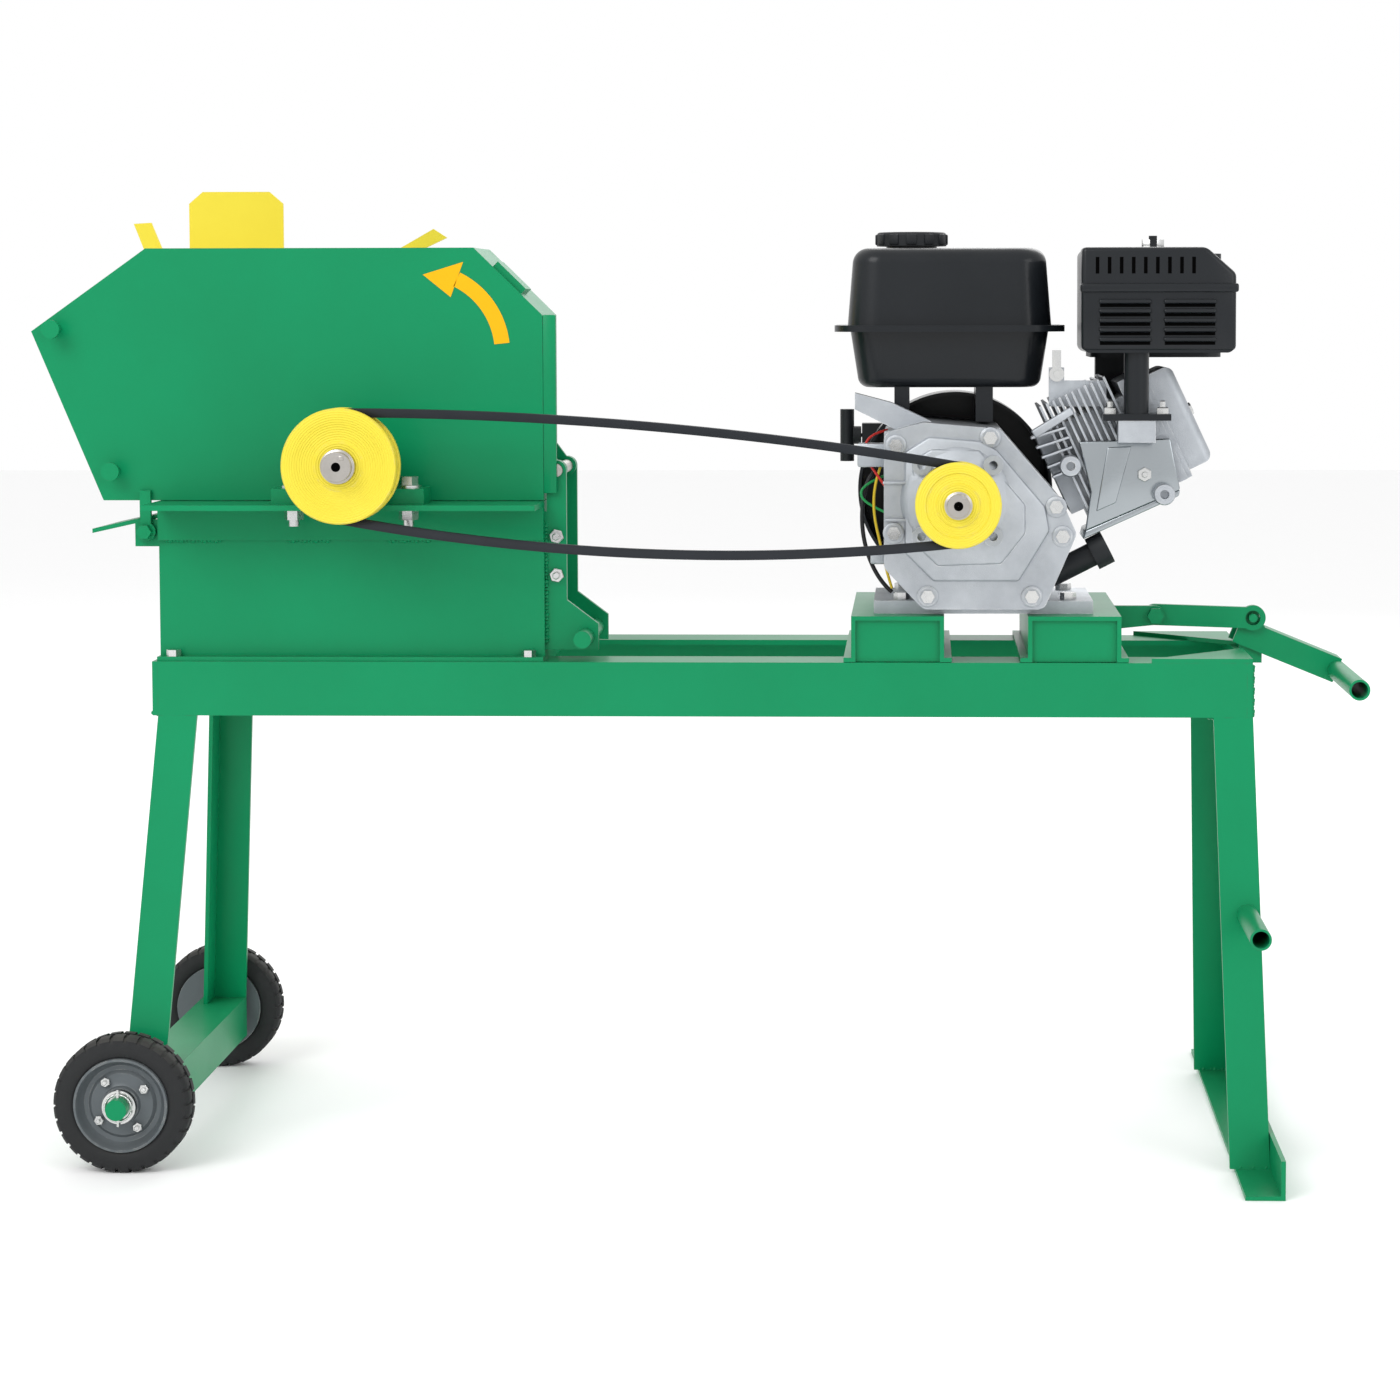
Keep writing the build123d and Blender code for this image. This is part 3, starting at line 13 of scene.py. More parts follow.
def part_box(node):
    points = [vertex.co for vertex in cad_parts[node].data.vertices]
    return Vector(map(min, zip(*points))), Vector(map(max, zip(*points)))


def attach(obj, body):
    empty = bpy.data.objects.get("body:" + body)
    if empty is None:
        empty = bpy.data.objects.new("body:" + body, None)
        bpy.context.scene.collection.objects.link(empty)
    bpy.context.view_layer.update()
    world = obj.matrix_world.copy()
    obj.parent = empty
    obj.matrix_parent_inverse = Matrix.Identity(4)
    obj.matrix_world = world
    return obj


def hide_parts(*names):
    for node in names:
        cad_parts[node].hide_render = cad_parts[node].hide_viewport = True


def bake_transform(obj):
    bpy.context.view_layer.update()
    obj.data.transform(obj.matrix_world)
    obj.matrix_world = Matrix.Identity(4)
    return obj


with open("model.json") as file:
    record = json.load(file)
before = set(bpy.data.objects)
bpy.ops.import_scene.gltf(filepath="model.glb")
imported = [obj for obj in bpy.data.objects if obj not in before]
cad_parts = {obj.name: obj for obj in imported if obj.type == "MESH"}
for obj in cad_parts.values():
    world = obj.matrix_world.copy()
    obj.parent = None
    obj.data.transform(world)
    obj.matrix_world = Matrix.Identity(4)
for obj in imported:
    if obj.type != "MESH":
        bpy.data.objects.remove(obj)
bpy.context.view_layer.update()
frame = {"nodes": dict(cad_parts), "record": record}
nodes = frame["nodes"]
MM = 0.001

# %% [markdown]
# The camera stands three metres away at 0.78 m, nearly square to the belt side. Upright edges stay
# nearly upright, because half of the framing comes from turning the camera a little to the left and
# down, and half from a small lens shift.

# %% Camera
CAMERA_PLACE = Vector((-0.3016, -2.9425, 0.7768))
CAMERA_YAW = 0.0321
CAMERA_PITCH = -0.0592
CAMERA_ROLL = -0.0019
SENSOR_WIDTH = 36.0
FOCAL_LENGTH = 79.742857

camera_data = bpy.data.cameras.new("camera")
camera_data.sensor_width = SENSOR_WIDTH
camera_data.lens = FOCAL_LENGTH
camera_data.shift_x = -0.0857
camera_data.shift_y = -0.148
camera_data.clip_end = 50.0
camera = bpy.data.objects.new("camera", camera_data)
bpy.context.scene.collection.objects.link(camera)
turn = Matrix.Rotation(CAMERA_YAW, 4, "Z") @ Matrix.Rotation(pi / 2 + CAMERA_PITCH, 4, "X")
camera.matrix_world = Matrix.Translation(CAMERA_PLACE) @ turn @ Matrix.Rotation(CAMERA_ROLL, 4, "Z")
bpy.context.scene.camera = camera
print("lens", round(camera_data.lens, 1))

# %% [markdown]
# The stage is a plain pale floor under soft studio light: a large key light on the left, a weaker
# one on the right, and an even white sky that fills the shadows.

# %% Stage and light
def emitter(name, place, target, size, power):
    """A soft square light that faces a point."""
    data = bpy.data.lights.new(name, "AREA")
    data.size = size
    data.energy = power
    light = bpy.data.objects.new(name, data)
    light.location = place
    light.rotation_euler = (Vector(target) - Vector(place)).to_track_quat("-Z", "Y").to_euler()
    bpy.context.scene.collection.objects.link(light)


middle = Vector((-0.5, 0.0, 0.5))
emitter("key_light", (-2.6, -3.2, 3.2), middle, 2.4, 85.0)
emitter("fill_light", (2.4, -2.8, 2.0), middle, 2.0, 26.0)
emitter("back_light", (0.4, 3.2, 2.8), middle, 2.4, 40.0)

world = bpy.data.worlds.new("studio")
world.use_nodes = True
sky = world.node_tree.nodes["Background"]
sky.inputs["Color"].default_value = (1.0, 1.0, 1.0, 1.0)
sky.inputs["Strength"].default_value = 1.0
bpy.context.scene.world = world
bpy.context.scene.view_settings.view_transform = "Standard"

floor_bm = bmesh.new()
bmesh.ops.create_grid(floor_bm, x_segments=1, y_segments=1, size=12.0)
floor_mesh = bpy.data.meshes.new("floor")
floor_bm.to_mesh(floor_mesh)
floor_bm.free()
floor = bpy.data.objects.new("floor", floor_mesh)
bpy.context.scene.collection.objects.link(floor)

# %% [markdown]
# Three effects are shared by most finishes, so each is a node group that puts out a mask or a
# height. Edge wear compares the true normal with one rounded over a small radius: they differ only
# near edges. Surface grain mixes two sizes of noise. Dust gathers on faces that look up.

# %% Node group helpers
def new_group(name, inputs, outputs):
    """A shader group with named number inputs and outputs."""
    tree = bpy.data.node_groups.new(name, "ShaderNodeTree")
    for label, value in inputs:
        socket = tree.interface.new_socket(label, in_out="INPUT", socket_type="NodeSocketFloat")
        socket.default_value = value
    for label in outputs:
        tree.interface.new_socket(label, in_out="OUTPUT", socket_type="NodeSocketFloat")
    entry = tree.nodes.new("NodeGroupInput")
    leave = tree.nodes.new("NodeGroupOutput")
    return tree, entry, leave


def math_node(tree, operation, first, second, clamp=False):
    """A Math node; each side is a socket or a number."""
    node = tree.nodes.new("ShaderNodeMath")
    node.operation = operation
    node.use_clamp = clamp
    for socket, value in zip(node.inputs, (first, second)):
        if hasattr(value, "is_output"):
            tree.links.new(value, socket)
        else:
            socket.default_value = value
    return node.outputs[0]


def noise_node(tree, scale, detail=3.0, roughness=0.55):
    """Noise over Object coordinates; the scale is a socket or a number."""
    place = tree.nodes.new("ShaderNodeTexCoord")
    node = tree.nodes.new("ShaderNodeTexNoise")
    node.inputs["Detail"].default_value = detail
    node.inputs["Roughness"].default_value = roughness
    tree.links.new(place.outputs["Object"], node.inputs["Vector"])
    if hasattr(scale, "is_output"):
        tree.links.new(scale, node.inputs["Scale"])
    else:
        node.inputs["Scale"].default_value = scale
    return node.outputs["Fac"]


# %% Edge wear
wear_group, entry, leave = new_group("edge_wear", (("Width", 0.0015), ("Amount", 1.0)), ("Mask",))
rounded = wear_group.nodes.new("ShaderNodeBevel")
rounded.samples = 4
wear_group.links.new(entry.outputs["Width"], rounded.inputs["Radius"])
surface = wear_group.nodes.new("ShaderNodeNewGeometry")
compare = wear_group.nodes.new("ShaderNodeVectorMath")
compare.operation = "DOT_PRODUCT"
wear_group.links.new(rounded.outputs["Normal"], compare.inputs[0])
wear_group.links.new(surface.outputs["Normal"], compare.inputs[1])
edge = math_node(wear_group, "SUBTRACT", 1.0, compare.outputs["Value"], clamp=True)
patchy = math_node(wear_group, "SUBTRACT", noise_node(wear_group, 90.0, 6.0), 0.45, clamp=True)
edge = math_node(wear_group, "MULTIPLY", edge, math_node(wear_group, "MULTIPLY", patchy, 22.0))
edge = math_node(wear_group, "MULTIPLY", edge, entry.outputs["Amount"], clamp=True)
wear_group.links.new(edge, leave.inputs["Mask"])

# %% Surface grain
grain_inputs = (("Scale", 300.0), ("Patch_Scale", 9.0))
grain_group, entry, leave = new_group("surface_grain", grain_inputs, ("Height", "Patches"))
grain_group.links.new(noise_node(grain_group, entry.outputs["Scale"], 4.0), leave.inputs["Height"])
patches = noise_node(grain_group, entry.outputs["Patch_Scale"], 5.0, 0.6)
grain_group.links.new(patches, leave.inputs["Patches"])

# %% Dust on faces that look up
dust_group, entry, leave = new_group("settled_dust", (("Amount", 0.2),), ("Mask",))
surface = dust_group.nodes.new("ShaderNodeNewGeometry")
split = dust_group.nodes.new("ShaderNodeSeparateXYZ")
dust_group.links.new(surface.outputs["Normal"], split.inputs[0])
upward = math_node(dust_group, "SUBTRACT", split.outputs["Z"], 0.3, clamp=True)
cloudy = math_node(dust_group, "MULTIPLY", noise_node(dust_group, 40.0, 6.0, 0.65), upward)
cloudy = math_node(dust_group, "MULTIPLY", cloudy, entry.outputs["Amount"], clamp=True)
dust_group.links.new(cloudy, leave.inputs["Mask"])
print("groups", [g.name for g in bpy.data.node_groups])

# %% [markdown]
# One function makes every finish. It sets the plain values on the Principled shader itself, and
# lets the groups vary the colour, the roughness and a fine bump. Paint shows a darker primer and
# bare metal at its worn edges, so each finish names its own colour for wear.

# %% Finish builder
def place_group(tree, group, **values):
    """A node that uses a group, with its inputs set."""
    node = tree.nodes.new("ShaderNodeGroup")
    node.node_tree = group
    for label, value in values.items():
        node.inputs[label].default_value = value
    return node


def mix_colour(tree, factor, first, second):
    """Mix two colours; each is a socket or three numbers."""
    node = tree.nodes.new("ShaderNodeMix")
    node.data_type = "RGBA"
    tree.links.new(factor, node.inputs["Factor"])
    for socket, value in ((node.inputs[6], first), (node.inputs[7], second)):
        if hasattr(value, "is_output"):
            tree.links.new(value, socket)
        else:
            socket.default_value = (*value, 1.0)
    return node.outputs[2]


def finish_material(
    name, colour, shade, rough, metal=0.0, coat=0.0, grain=(300.0, 9.0), bump=0.00004,
    rough_swing=0.12, wear=0.0, wear_colour=(0.42, 0.42, 0.4), dust=0.15, height=None, gloss=0.3,
):
    """A procedural finish: patches of two shades, varied gloss, fine bump, wear and dust."""
    material = bpy.data.materials.new(name)
    material.use_nodes = True
    tree = material.node_tree
    shader = tree.nodes["Principled BSDF"]
    shader.inputs["Metallic"].default_value = metal
    shader.inputs["Specular IOR Level"].default_value = gloss
    shader.inputs["Coat Weight"].default_value = coat
    shader.inputs["Coat Roughness"].default_value = 0.12
    surface_grain = place_group(tree, grain_group, Scale=grain[0], Patch_Scale=grain[1])
    base = mix_colour(tree, surface_grain.outputs["Patches"], colour, shade)
    if wear:
        worn = place_group(tree, wear_group, Width=0.0016, Amount=wear)
        base = mix_colour(tree, worn.outputs["Mask"], base, wear_colour)
    if dust:
        dusty = place_group(tree, dust_group, Amount=dust)
        base = mix_colour(tree, dusty.outputs["Mask"], base, (0.45, 0.42, 0.36))
    tree.links.new(base, shader.inputs["Base Color"])
    swing = math_node(tree, "MULTIPLY", surface_grain.outputs["Patches"], rough_swing)
    tree.links.new(math_node(tree, "ADD", swing, rough - rough_swing / 2), shader.inputs["Roughness"])
    relief = tree.nodes.new("ShaderNodeBump")
    relief.inputs["Distance"].default_value = bump
    relief.inputs["Strength"].default_value = 1.0
    height_output = surface_grain.outputs["Height"] if height is None else height(tree)
    tree.links.new(height_output, relief.inputs["Height"])
    tree.links.new(relief.outputs["Normal"], shader.inputs["Normal"])
    return material


# %% Turned rings
def turned_rings(centre_x, centre_z, pitch):
    """A height that rises and falls in rings about an axis along Y."""

    def height(tree):
        place = tree.nodes.new("ShaderNodeTexCoord")
        shift = tree.nodes.new("ShaderNodeMapping")
        shift.inputs["Location"].default_value = (-centre_x, 0.0, -centre_z)
        tree.links.new(place.outputs["Object"], shift.inputs["Vector"])
        rings = tree.nodes.new("ShaderNodeTexWave")
        rings.wave_type = "RINGS"
        rings.rings_direction = "Y"
        rings.inputs["Scale"].default_value = 1.0 / pitch / pi
        rings.inputs["Distortion"].default_value = 0.4
        tree.links.new(shift.outputs["Vector"], rings.inputs["Vector"])
        return rings.outputs["Fac"]

    return height


# %% The machine's finishes
def centre_of(node):
    """The middle of a CAD node's box, in metres."""
    low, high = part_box(node)
    return (Vector(low) + Vector(high)) / 2


shaft = centre_of("chopper_pulley")
crank = centre_of("engine_pulley")
finishes = {
    "green_paint": finish_material(
        "green_enamel", (0.001, 0.25, 0.098), (0.001, 0.2, 0.075), 0.36, gloss=0.16, coat=0.06,
        grain=(420.0, 7.0), bump=0.00006, wear=0.35, wear_colour=(0.03, 0.1, 0.055), dust=0.05,
    ),
    "tyre_rubber": finish_material(
        "tyre_rubber", (0.010, 0.011, 0.012), (0.02, 0.021, 0.022), 0.7, grain=(900.0, 20.0),
        bump=0.00012, dust=0.2,
    ),
    "rim_paint": finish_material(
        "rim_enamel", (0.085, 0.1, 0.108), (0.12, 0.135, 0.145), 0.42, metal=0.2, wear=0.6, dust=0.1,
    ),
    "zinc_steel": finish_material(
        "zinc_plate", (0.74, 0.74, 0.72), (0.5, 0.51, 0.52), 0.26, metal=1.0, grain=(900.0, 60.0),
        rough_swing=0.2, bump=0.00003, dust=0.05,
    ),
    "bare_steel": finish_material(
        "turned_steel", (0.5, 0.48, 0.45), (0.33, 0.31, 0.29), 0.36, metal=1.0, grain=(700.0, 50.0),
        rough_swing=0.25, dust=0.1, height=turned_rings(shaft.x, shaft.z, 0.0012),
    ),
    "cast_aluminium": finish_material(
        "cast_aluminium", (0.53, 0.56, 0.59), (0.3, 0.32, 0.35), 0.44, metal=0.85,
        grain=(1400.0, 30.0), bump=0.0003, rough_swing=0.2, wear=0.5,
        wear_colour=(0.85, 0.85, 0.84), dust=0.1,
    ),
    "black_paint": finish_material(
        "black_enamel", (0.006, 0.008, 0.01), (0.011, 0.013, 0.016), 0.3, gloss=0.22, coat=0.1,
        grain=(500.0, 12.0), bump=0.00004, dust=0.03,
    ),
    "black_plastic": finish_material(
        "black_plastic", (0.009, 0.011, 0.013), (0.015, 0.017, 0.02), 0.5, gloss=0.25,
        grain=(1600.0, 25.0), bump=0.00008, dust=0.05,
    ),
    "belt_rubber": finish_material(
        "belt_rubber", (0.008, 0.010, 0.014), (0.018, 0.021, 0.026), 0.6, gloss=0.25,
        grain=(1800.0, 40.0), bump=0.0001, dust=0.0,
    ),
    "orange_paint": finish_material(
        "orange_film", (0.83, 0.43, 0.006), (0.78, 0.39, 0.005), 0.42, gloss=0.12,
        grain=(600.0, 30.0), dust=0.0,
    ),
}
YELLOW = (0.78, 0.66, 0.055)
YELLOW_SHADE = (0.72, 0.58, 0.04)
finishes["yellow_paint"] = finish_material(
    "yellow_enamel", YELLOW, YELLOW_SHADE, 0.4, gloss=0.2, grain=(420.0, 14.0), wear=0.3, dust=0.03,
)
turned_yellow = {}
for pulley, middle_point in (("chopper_pulley", shaft), ("engine_pulley", crank)):
    turned_yellow[pulley] = finish_material(
        "yellow_" + pulley, YELLOW, YELLOW_SHADE, 0.42, gloss=0.2, grain=(420.0, 14.0), wear=0.6,
        bump=0.00035, dust=0.0, height=turned_rings(middle_point.x, middle_point.z, 0.0022),
    )
print("finishes", len(bpy.data.materials))

# %% [markdown]
# Each CAD piece takes the finish that its material slot in the record names. The two pulleys are
# turned on a lathe and painted thinly, so fine rings still show on their faces.

# %% Dress the CAD pieces
slot_of = {row["node"]: row["material_slot"] for row in frame["record"]["subparts"]}
for node, thing in nodes.items():
    thing.data.materials.clear()
    thing.data.materials.append(turned_yellow.get(node, finishes[slot_of[node]]))
floor.data.materials.append(
    finish_material("pale_floor", (0.95, 0.95, 0.95), (0.94, 0.94, 0.94), 0.9, dust=0.0, bump=0.00001)
)
print("dressed", len(slot_of))

# %% [markdown]
# Small helpers turn a bmesh into a finished piece, and make the shapes that repeat: a bevelled box,
# a turned profile spun about an axis along Y, and a hexagon head with chamfered top edges.

# %% Piece helpers
def piece(name, bm, slot, body, replaces=(), smooth=True, material=None):
    """A finished object from a bmesh, with its finish, its body and the CAD nodes it stands for."""
    bmesh.ops.remove_doubles(bm, verts=bm.verts, dist=1e-6)
    bmesh.ops.recalc_face_normals(bm, faces=bm.faces)
    mesh = bpy.data.meshes.new(name)
    bm.to_mesh(mesh)
    bm.free()
    thing = bpy.data.objects.new(name, mesh)
    bpy.context.scene.collection.objects.link(thing)
    mesh.materials.append(material or finishes[slot])
    if smooth:
        mesh.shade_smooth()
        mesh.set_sharp_from_angle(angle=radians(35))
    if replaces:
        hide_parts(*replaces)
    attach(thing, body)
    return thing


def add_box(bm, low, high, bevel=0.0, segments=2):
    """A box between two corners, with rounded edges, added to a bmesh."""
    low, high = Vector(low), Vector(high)
    size = high - low
    made = bmesh.ops.create_cube(bm, size=1.0)["verts"]
    bmesh.ops.scale(bm, vec=size, verts=made)
    bmesh.ops.translate(bm, vec=(low + high) / 2, verts=made)
    if bevel:
        edges = {e for v in made for e in v.link_edges}
        done = bmesh.ops.bevel(
            bm, geom=list(edges), offset=bevel, offset_type="OFFSET", segments=segments,
            profile=0.5, affect="EDGES", clamp_overlap=True, material=-1,
        )
        made = list({v for f in done["faces"] for v in f.verts} | {v for v in made if v.is_valid})
    return made


def add_prism(bm, points, low_y, high_y, bevel=0.0, segments=3):
    """An outline of (x, z) points given a depth along Y, with rounded edges, added to a bmesh."""
    near = [bm.verts.new((x, low_y, z)) for x, z in points]
    far = [bm.verts.new((x, high_y, z)) for x, z in points]
    faces = [bm.faces.new(near), bm.faces.new(far[::-1])]
    for k in range(len(points)):
        after = (k + 1) % len(points)
        faces.append(bm.faces.new((near[k], far[k], far[after], near[after])))
    bmesh.ops.recalc_face_normals(bm, faces=faces)
    if bevel:
        edges = {e for face in faces for e in face.edges}
        bmesh.ops.bevel(
            bm, geom=list(edges), offset=bevel, offset_type="OFFSET", segments=segments,
            profile=0.5, affect="EDGES", clamp_overlap=True, material=-1,
        )


def add_turned(bm, profile, centre, steps=48):
    """A profile of (radius, y) points spun about the Y axis through a centre (x, z)."""
    verts = [bm.verts.new((centre[0] + r, y, centre[1])) for r, y in profile]
    edges = [bm.edges.new(pair) for pair in zip(verts, verts[1:])]
    bmesh.ops.spin(
        bm, geom=verts + edges, cent=(centre[0], 0, centre[1]), axis=(0, 1, 0), dvec=(0, 0, 0),
        angle=2 * pi, steps=steps, use_merge=True, use_duplicate=False,
    )


def add_hex(bm, place, axis, radius, height, spin=0.0):
    """A hexagon head whose foot is at a place, standing along an axis, with chamfered corners."""
    made = bmesh.ops.create_cone(
        bm, cap_ends=True, segments=6, radius1=radius, radius2=radius, depth=height
    )["verts"]
    top = [e for e in {e for v in made for e in v.link_edges} if all(v.co.z > 0 for v in e.verts)]
    done = bmesh.ops.bevel(
        bm, geom=top, offset=height * 0.14, offset_type="OFFSET", segments=1, profile=0.5,
        affect="EDGES", clamp_overlap=True, material=-1,
    )
    made = list({v for f in done["faces"] for v in f.verts} | {v for v in made if v.is_valid})
    lie = Vector(axis).to_track_quat("Z", "Y").to_matrix().to_4x4() @ Matrix.Rotation(spin, 4, "Z")
    start = Vector(place) + Vector(axis).normalized() * height / 2
    bmesh.ops.transform(bm, matrix=Matrix.Translation(start) @ lie, verts=made)


# %% [markdown]
# The wheels are solid rubber tyres on pressed steel rims. A tyre is one turned profile; its outer
# faces are then split into blocks by pushing every other pair outwards, which leaves the grooves
# of the tread. The rim is a turned dish with a rolled edge, four bolts and a hub with a spring clip.

# %% Wheels
TREAD_STEPS = 120


def tyre(node, side):
    """A block-tread tyre inside the box of its CAD node."""
    low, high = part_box(node)
    middle_point = centre_of(node)
    radius = (high[2] - low[2]) / 2
    half = (high[1] - low[1]) / 2
    groove = 1.8 * MM
    crown = radius - groove - 0.1 * MM
    bm = bmesh.new()
    profile = [
        (43.2 * MM, -half + 3 * MM), (46 * MM, -half + 1 * MM), (52 * MM, -half + 0.6 * MM),
        (crown - 3.5 * MM, -half + 2.4 * MM), (crown - 0.8 * MM, -half + 5 * MM), (crown, -half + 8 * MM),
        (crown, -2 * MM), (crown, 2 * MM),
        (crown, half - 8 * MM), (crown - 0.8 * MM, half - 5 * MM), (crown - 3.5 * MM, half - 2.4 * MM),
        (52 * MM, half - 0.6 * MM), (46 * MM, half - 1 * MM), (43.2 * MM, half - 3 * MM),
    ]
    profile = [(r, y + middle_point.y) for r, y in profile]
    add_turned(bm, profile + [profile[0]], (middle_point.x, middle_point.z), TREAD_STEPS)
    bmesh.ops.remove_doubles(bm, verts=bm.verts, dist=1e-6)
    bmesh.ops.recalc_face_normals(bm, faces=bm.faces)
    blocks = []
    for face in bm.faces:
        spot = face.calc_center_median()
        away = hypot(spot.x - middle_point.x, spot.z - middle_point.z)
        step = int((atan2(spot.z - middle_point.z, spot.x - middle_point.x) + pi) / (2 * pi) * TREAD_STEPS)
        offset = 2 if spot.y > middle_point.y else 0
        if away > crown - 3 * MM and abs(spot.y - middle_point.y) > 2 * MM and (step + offset) % 4 != 0:
            blocks.append(face)
    grown = bmesh.ops.extrude_face_region(bm, geom=blocks)["geom"]
    moved = {v for v in grown if isinstance(v, bmesh.types.BMVert)}
    for vert in moved:
        out = Vector((vert.co.x - middle_point.x, 0, vert.co.z - middle_point.z))
        vert.co += out.normalized() * groove
    bmesh.ops.delete(bm, geom=blocks, context="FACES_ONLY")
    return piece("tread_" + node, bm, "tyre_rubber", "wheel_" + side, (node,))


def rim(node, side, way):
    """A pressed rim with a rolled edge and a dished web; way is the outer side along Y."""
    middle_point = centre_of(node)
    centre = (middle_point.x, middle_point.z)
    y = middle_point.y
    face = y + way * 15 * MM
    bm = bmesh.new()
    profile = [
        (42.9 * MM, y - way * 16 * MM), (43 * MM, face), (42.4 * MM, face + way * 1.6 * MM),
        (40.6 * MM, face + way * 1.8 * MM), (39.4 * MM, face), (38.8 * MM, face - way * 4 * MM),
        (35 * MM, face - way * 8 * MM), (31 * MM, face - way * 8.6 * MM), (28 * MM, face - way * 6 * MM),
        (20 * MM, face - way * 5.4 * MM), (17.4 * MM, face - way * 4 * MM),
        (16.4 * MM, face + way * 0.5 * MM), (15 * MM, face + way * 0.6 * MM),
        (14.6 * MM, face - way * 2 * MM), (14.6 * MM, face - way * 14 * MM),
        (9.7 * MM, face - way * 14 * MM), (9.7 * MM, y - way * 16 * MM), (42.9 * MM, y - way * 16 * MM),
    ]
    add_turned(bm, profile, centre, 64)
    piece("dish_" + node, bm, "rim_paint", "wheel_" + side, (node,))
    bm = bmesh.new()
    for quarter in range(4):
        angle = radians(35 + 90 * quarter)
        spot = (centre[0] + 25 * MM * cos(angle), face - way * 5.8 * MM, centre[1] + 25 * MM * sin(angle))
        add_hex(bm, spot, (0, way, 0), 4.6 * MM, 4 * MM, angle)
        tip = (spot[0], spot[1] + way * 4 * MM, spot[2])
        add_hex(bm, tip, (0, way, 0), 2.2 * MM, 3 * MM, angle)
    return piece("bolts_" + node, bm, "zinc_steel", "wheel_" + side)


for side, way in (("near", -1), ("far", 1)):
    tyre("tyre_" + side, side)
    rim("rim_" + side, side, way)

bm = bmesh.new()
for way in (-1, 1):
    low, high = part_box("axle")
    x, z = centre_of("axle").x, centre_of("axle").z
    y = way * (high[1] - 8 * MM)
    for part in range(14):
        angle = radians(20 + part * 24)
        spot = Vector((x + 12 * MM * cos(angle), y, z + 12 * MM * sin(angle)))
        made = bmesh.ops.create_icosphere(bm, subdivisions=2, radius=1.0)["verts"]
        stretch = Matrix.Rotation(-angle, 4, "Y") @ Matrix.Diagonal((1.1 * MM, 1.1 * MM, 3 * MM, 1))
        bmesh.ops.transform(bm, matrix=Matrix.Translation(spot) @ stretch, verts=made)
    half = Vector((1.2, 1.2, 17)) * MM
    add_box(bm, Vector((x, y, z)) - half, Vector((x, y, z)) + half, 0.8 * MM)
piece("spring_clips", bm, "zinc_steel", "frame")
print("wheels done")

# %% [markdown]
# A V-belt pulley is a turned profile: a rim with a groove, a shallow recess in its face and a hub.
# The belt's section is a wedge. It is spun through four arcs, one round each pulley and one along
# each slack strand, so the whole belt is made by the spin operator and closes on itself.

# %% Pulleys
def pulley_piece(node, body, bore):
    """A turned pulley with a V groove, a recessed face and a plain hub."""
    low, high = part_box(node)
    middle_point = centre_of(node)
    radius = (high[2] - low[2]) / 2
    near, far = low[1], high[1]
    y = middle_point.y
    profile = [
        (bore, near), (bore + 9 * MM, near), (bore + 10 * MM, near + 1.2 * MM),
        (radius * 0.72, near + 1.6 * MM), (radius * 0.76, near + 0.3 * MM),
        (radius - 1.2 * MM, near), (radius, near + 1.4 * MM), (radius, y - 7.4 * MM),
        (radius - 1 * MM, y - 6.6 * MM), (radius - 10 * MM, y - 4.2 * MM), (radius - 10 * MM, y + 4.2 * MM),
        (radius - 1 * MM, y + 6.6 * MM), (radius, y + 7.4 * MM), (radius, far - 1.4 * MM),
        (radius - 1.2 * MM, far), (bore, far), (bore, near),
    ]
    bm = bmesh.new()
    add_turned(bm, profile, (middle_point.x, middle_point.z), 96)
    piece("turned_" + node, bm, "yellow_paint", body, (node,), material=turned_yellow[node])


pulley_piece("chopper_pulley", "rotor", 12.4 * MM)
pulley_piece("engine_pulley", "crank", 9.9 * MM)

# %% Shaft ends: a thick washer, a threaded hole painted as a near-black disc of shade, and the end of the key
# Near-black with a barely lighter patch colour: painted shade, laid as thin discs and boxes where holes,
# slits and slots are not cut.
OPENING_SHADE_BLACK = (0.0015, 0.0015, 0.0015)
OPENING_SHADE_PATCH = (0.002, 0.002, 0.002)
painted_opening_shade = finish_material("painted_opening_shade", OPENING_SHADE_BLACK, OPENING_SHADE_PATCH, 0.9, gloss=0.0, dust=0.0)
SHAFT_ENDS = (("rotor", "rotor_shaft", "rotor", 15.5), ("crank", "crankshaft", "crank", 12.5))
for name, node, body, collar in SHAFT_ENDS:
    low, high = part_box(node)
    spot = centre_of(node)
    bm = bmesh.new()
    ring = [
        (4.2, 0.4), (4.2, -0.6), (collar - 2.5, -0.6), (collar - 2, 0),
        (collar - 2, 6), (collar, 6.8), (collar, 9), (4.2, 9),
    ]
    add_turned(bm, [(r * MM, low[1] + y * MM) for r, y in ring], (spot.x, spot.z), 40)
    key_low = (spot.x + 3 * MM, low[1] - 1.2 * MM, spot.z + 6 * MM)
    key_high = (spot.x + 7 * MM, low[1] + 8 * MM, spot.z + 10 * MM)
    add_box(bm, key_low, key_high, 0.5 * MM)
    piece("end_" + name, bm, "bare_steel", body)
    bm = bmesh.new()
    # The threaded hole is not cut: a thin near-black disc on the shaft end is painted shade in its place.
    hole = [(0.1, -0.3), (4.2, -0.3), (4.2, 0.2)]
    add_turned(bm, [(r * MM, low[1] + y * MM) for r, y in hole], (spot.x, spot.z), 24)
    piece("hole_" + name, bm, "bare_steel", body, material=painted_opening_shade)

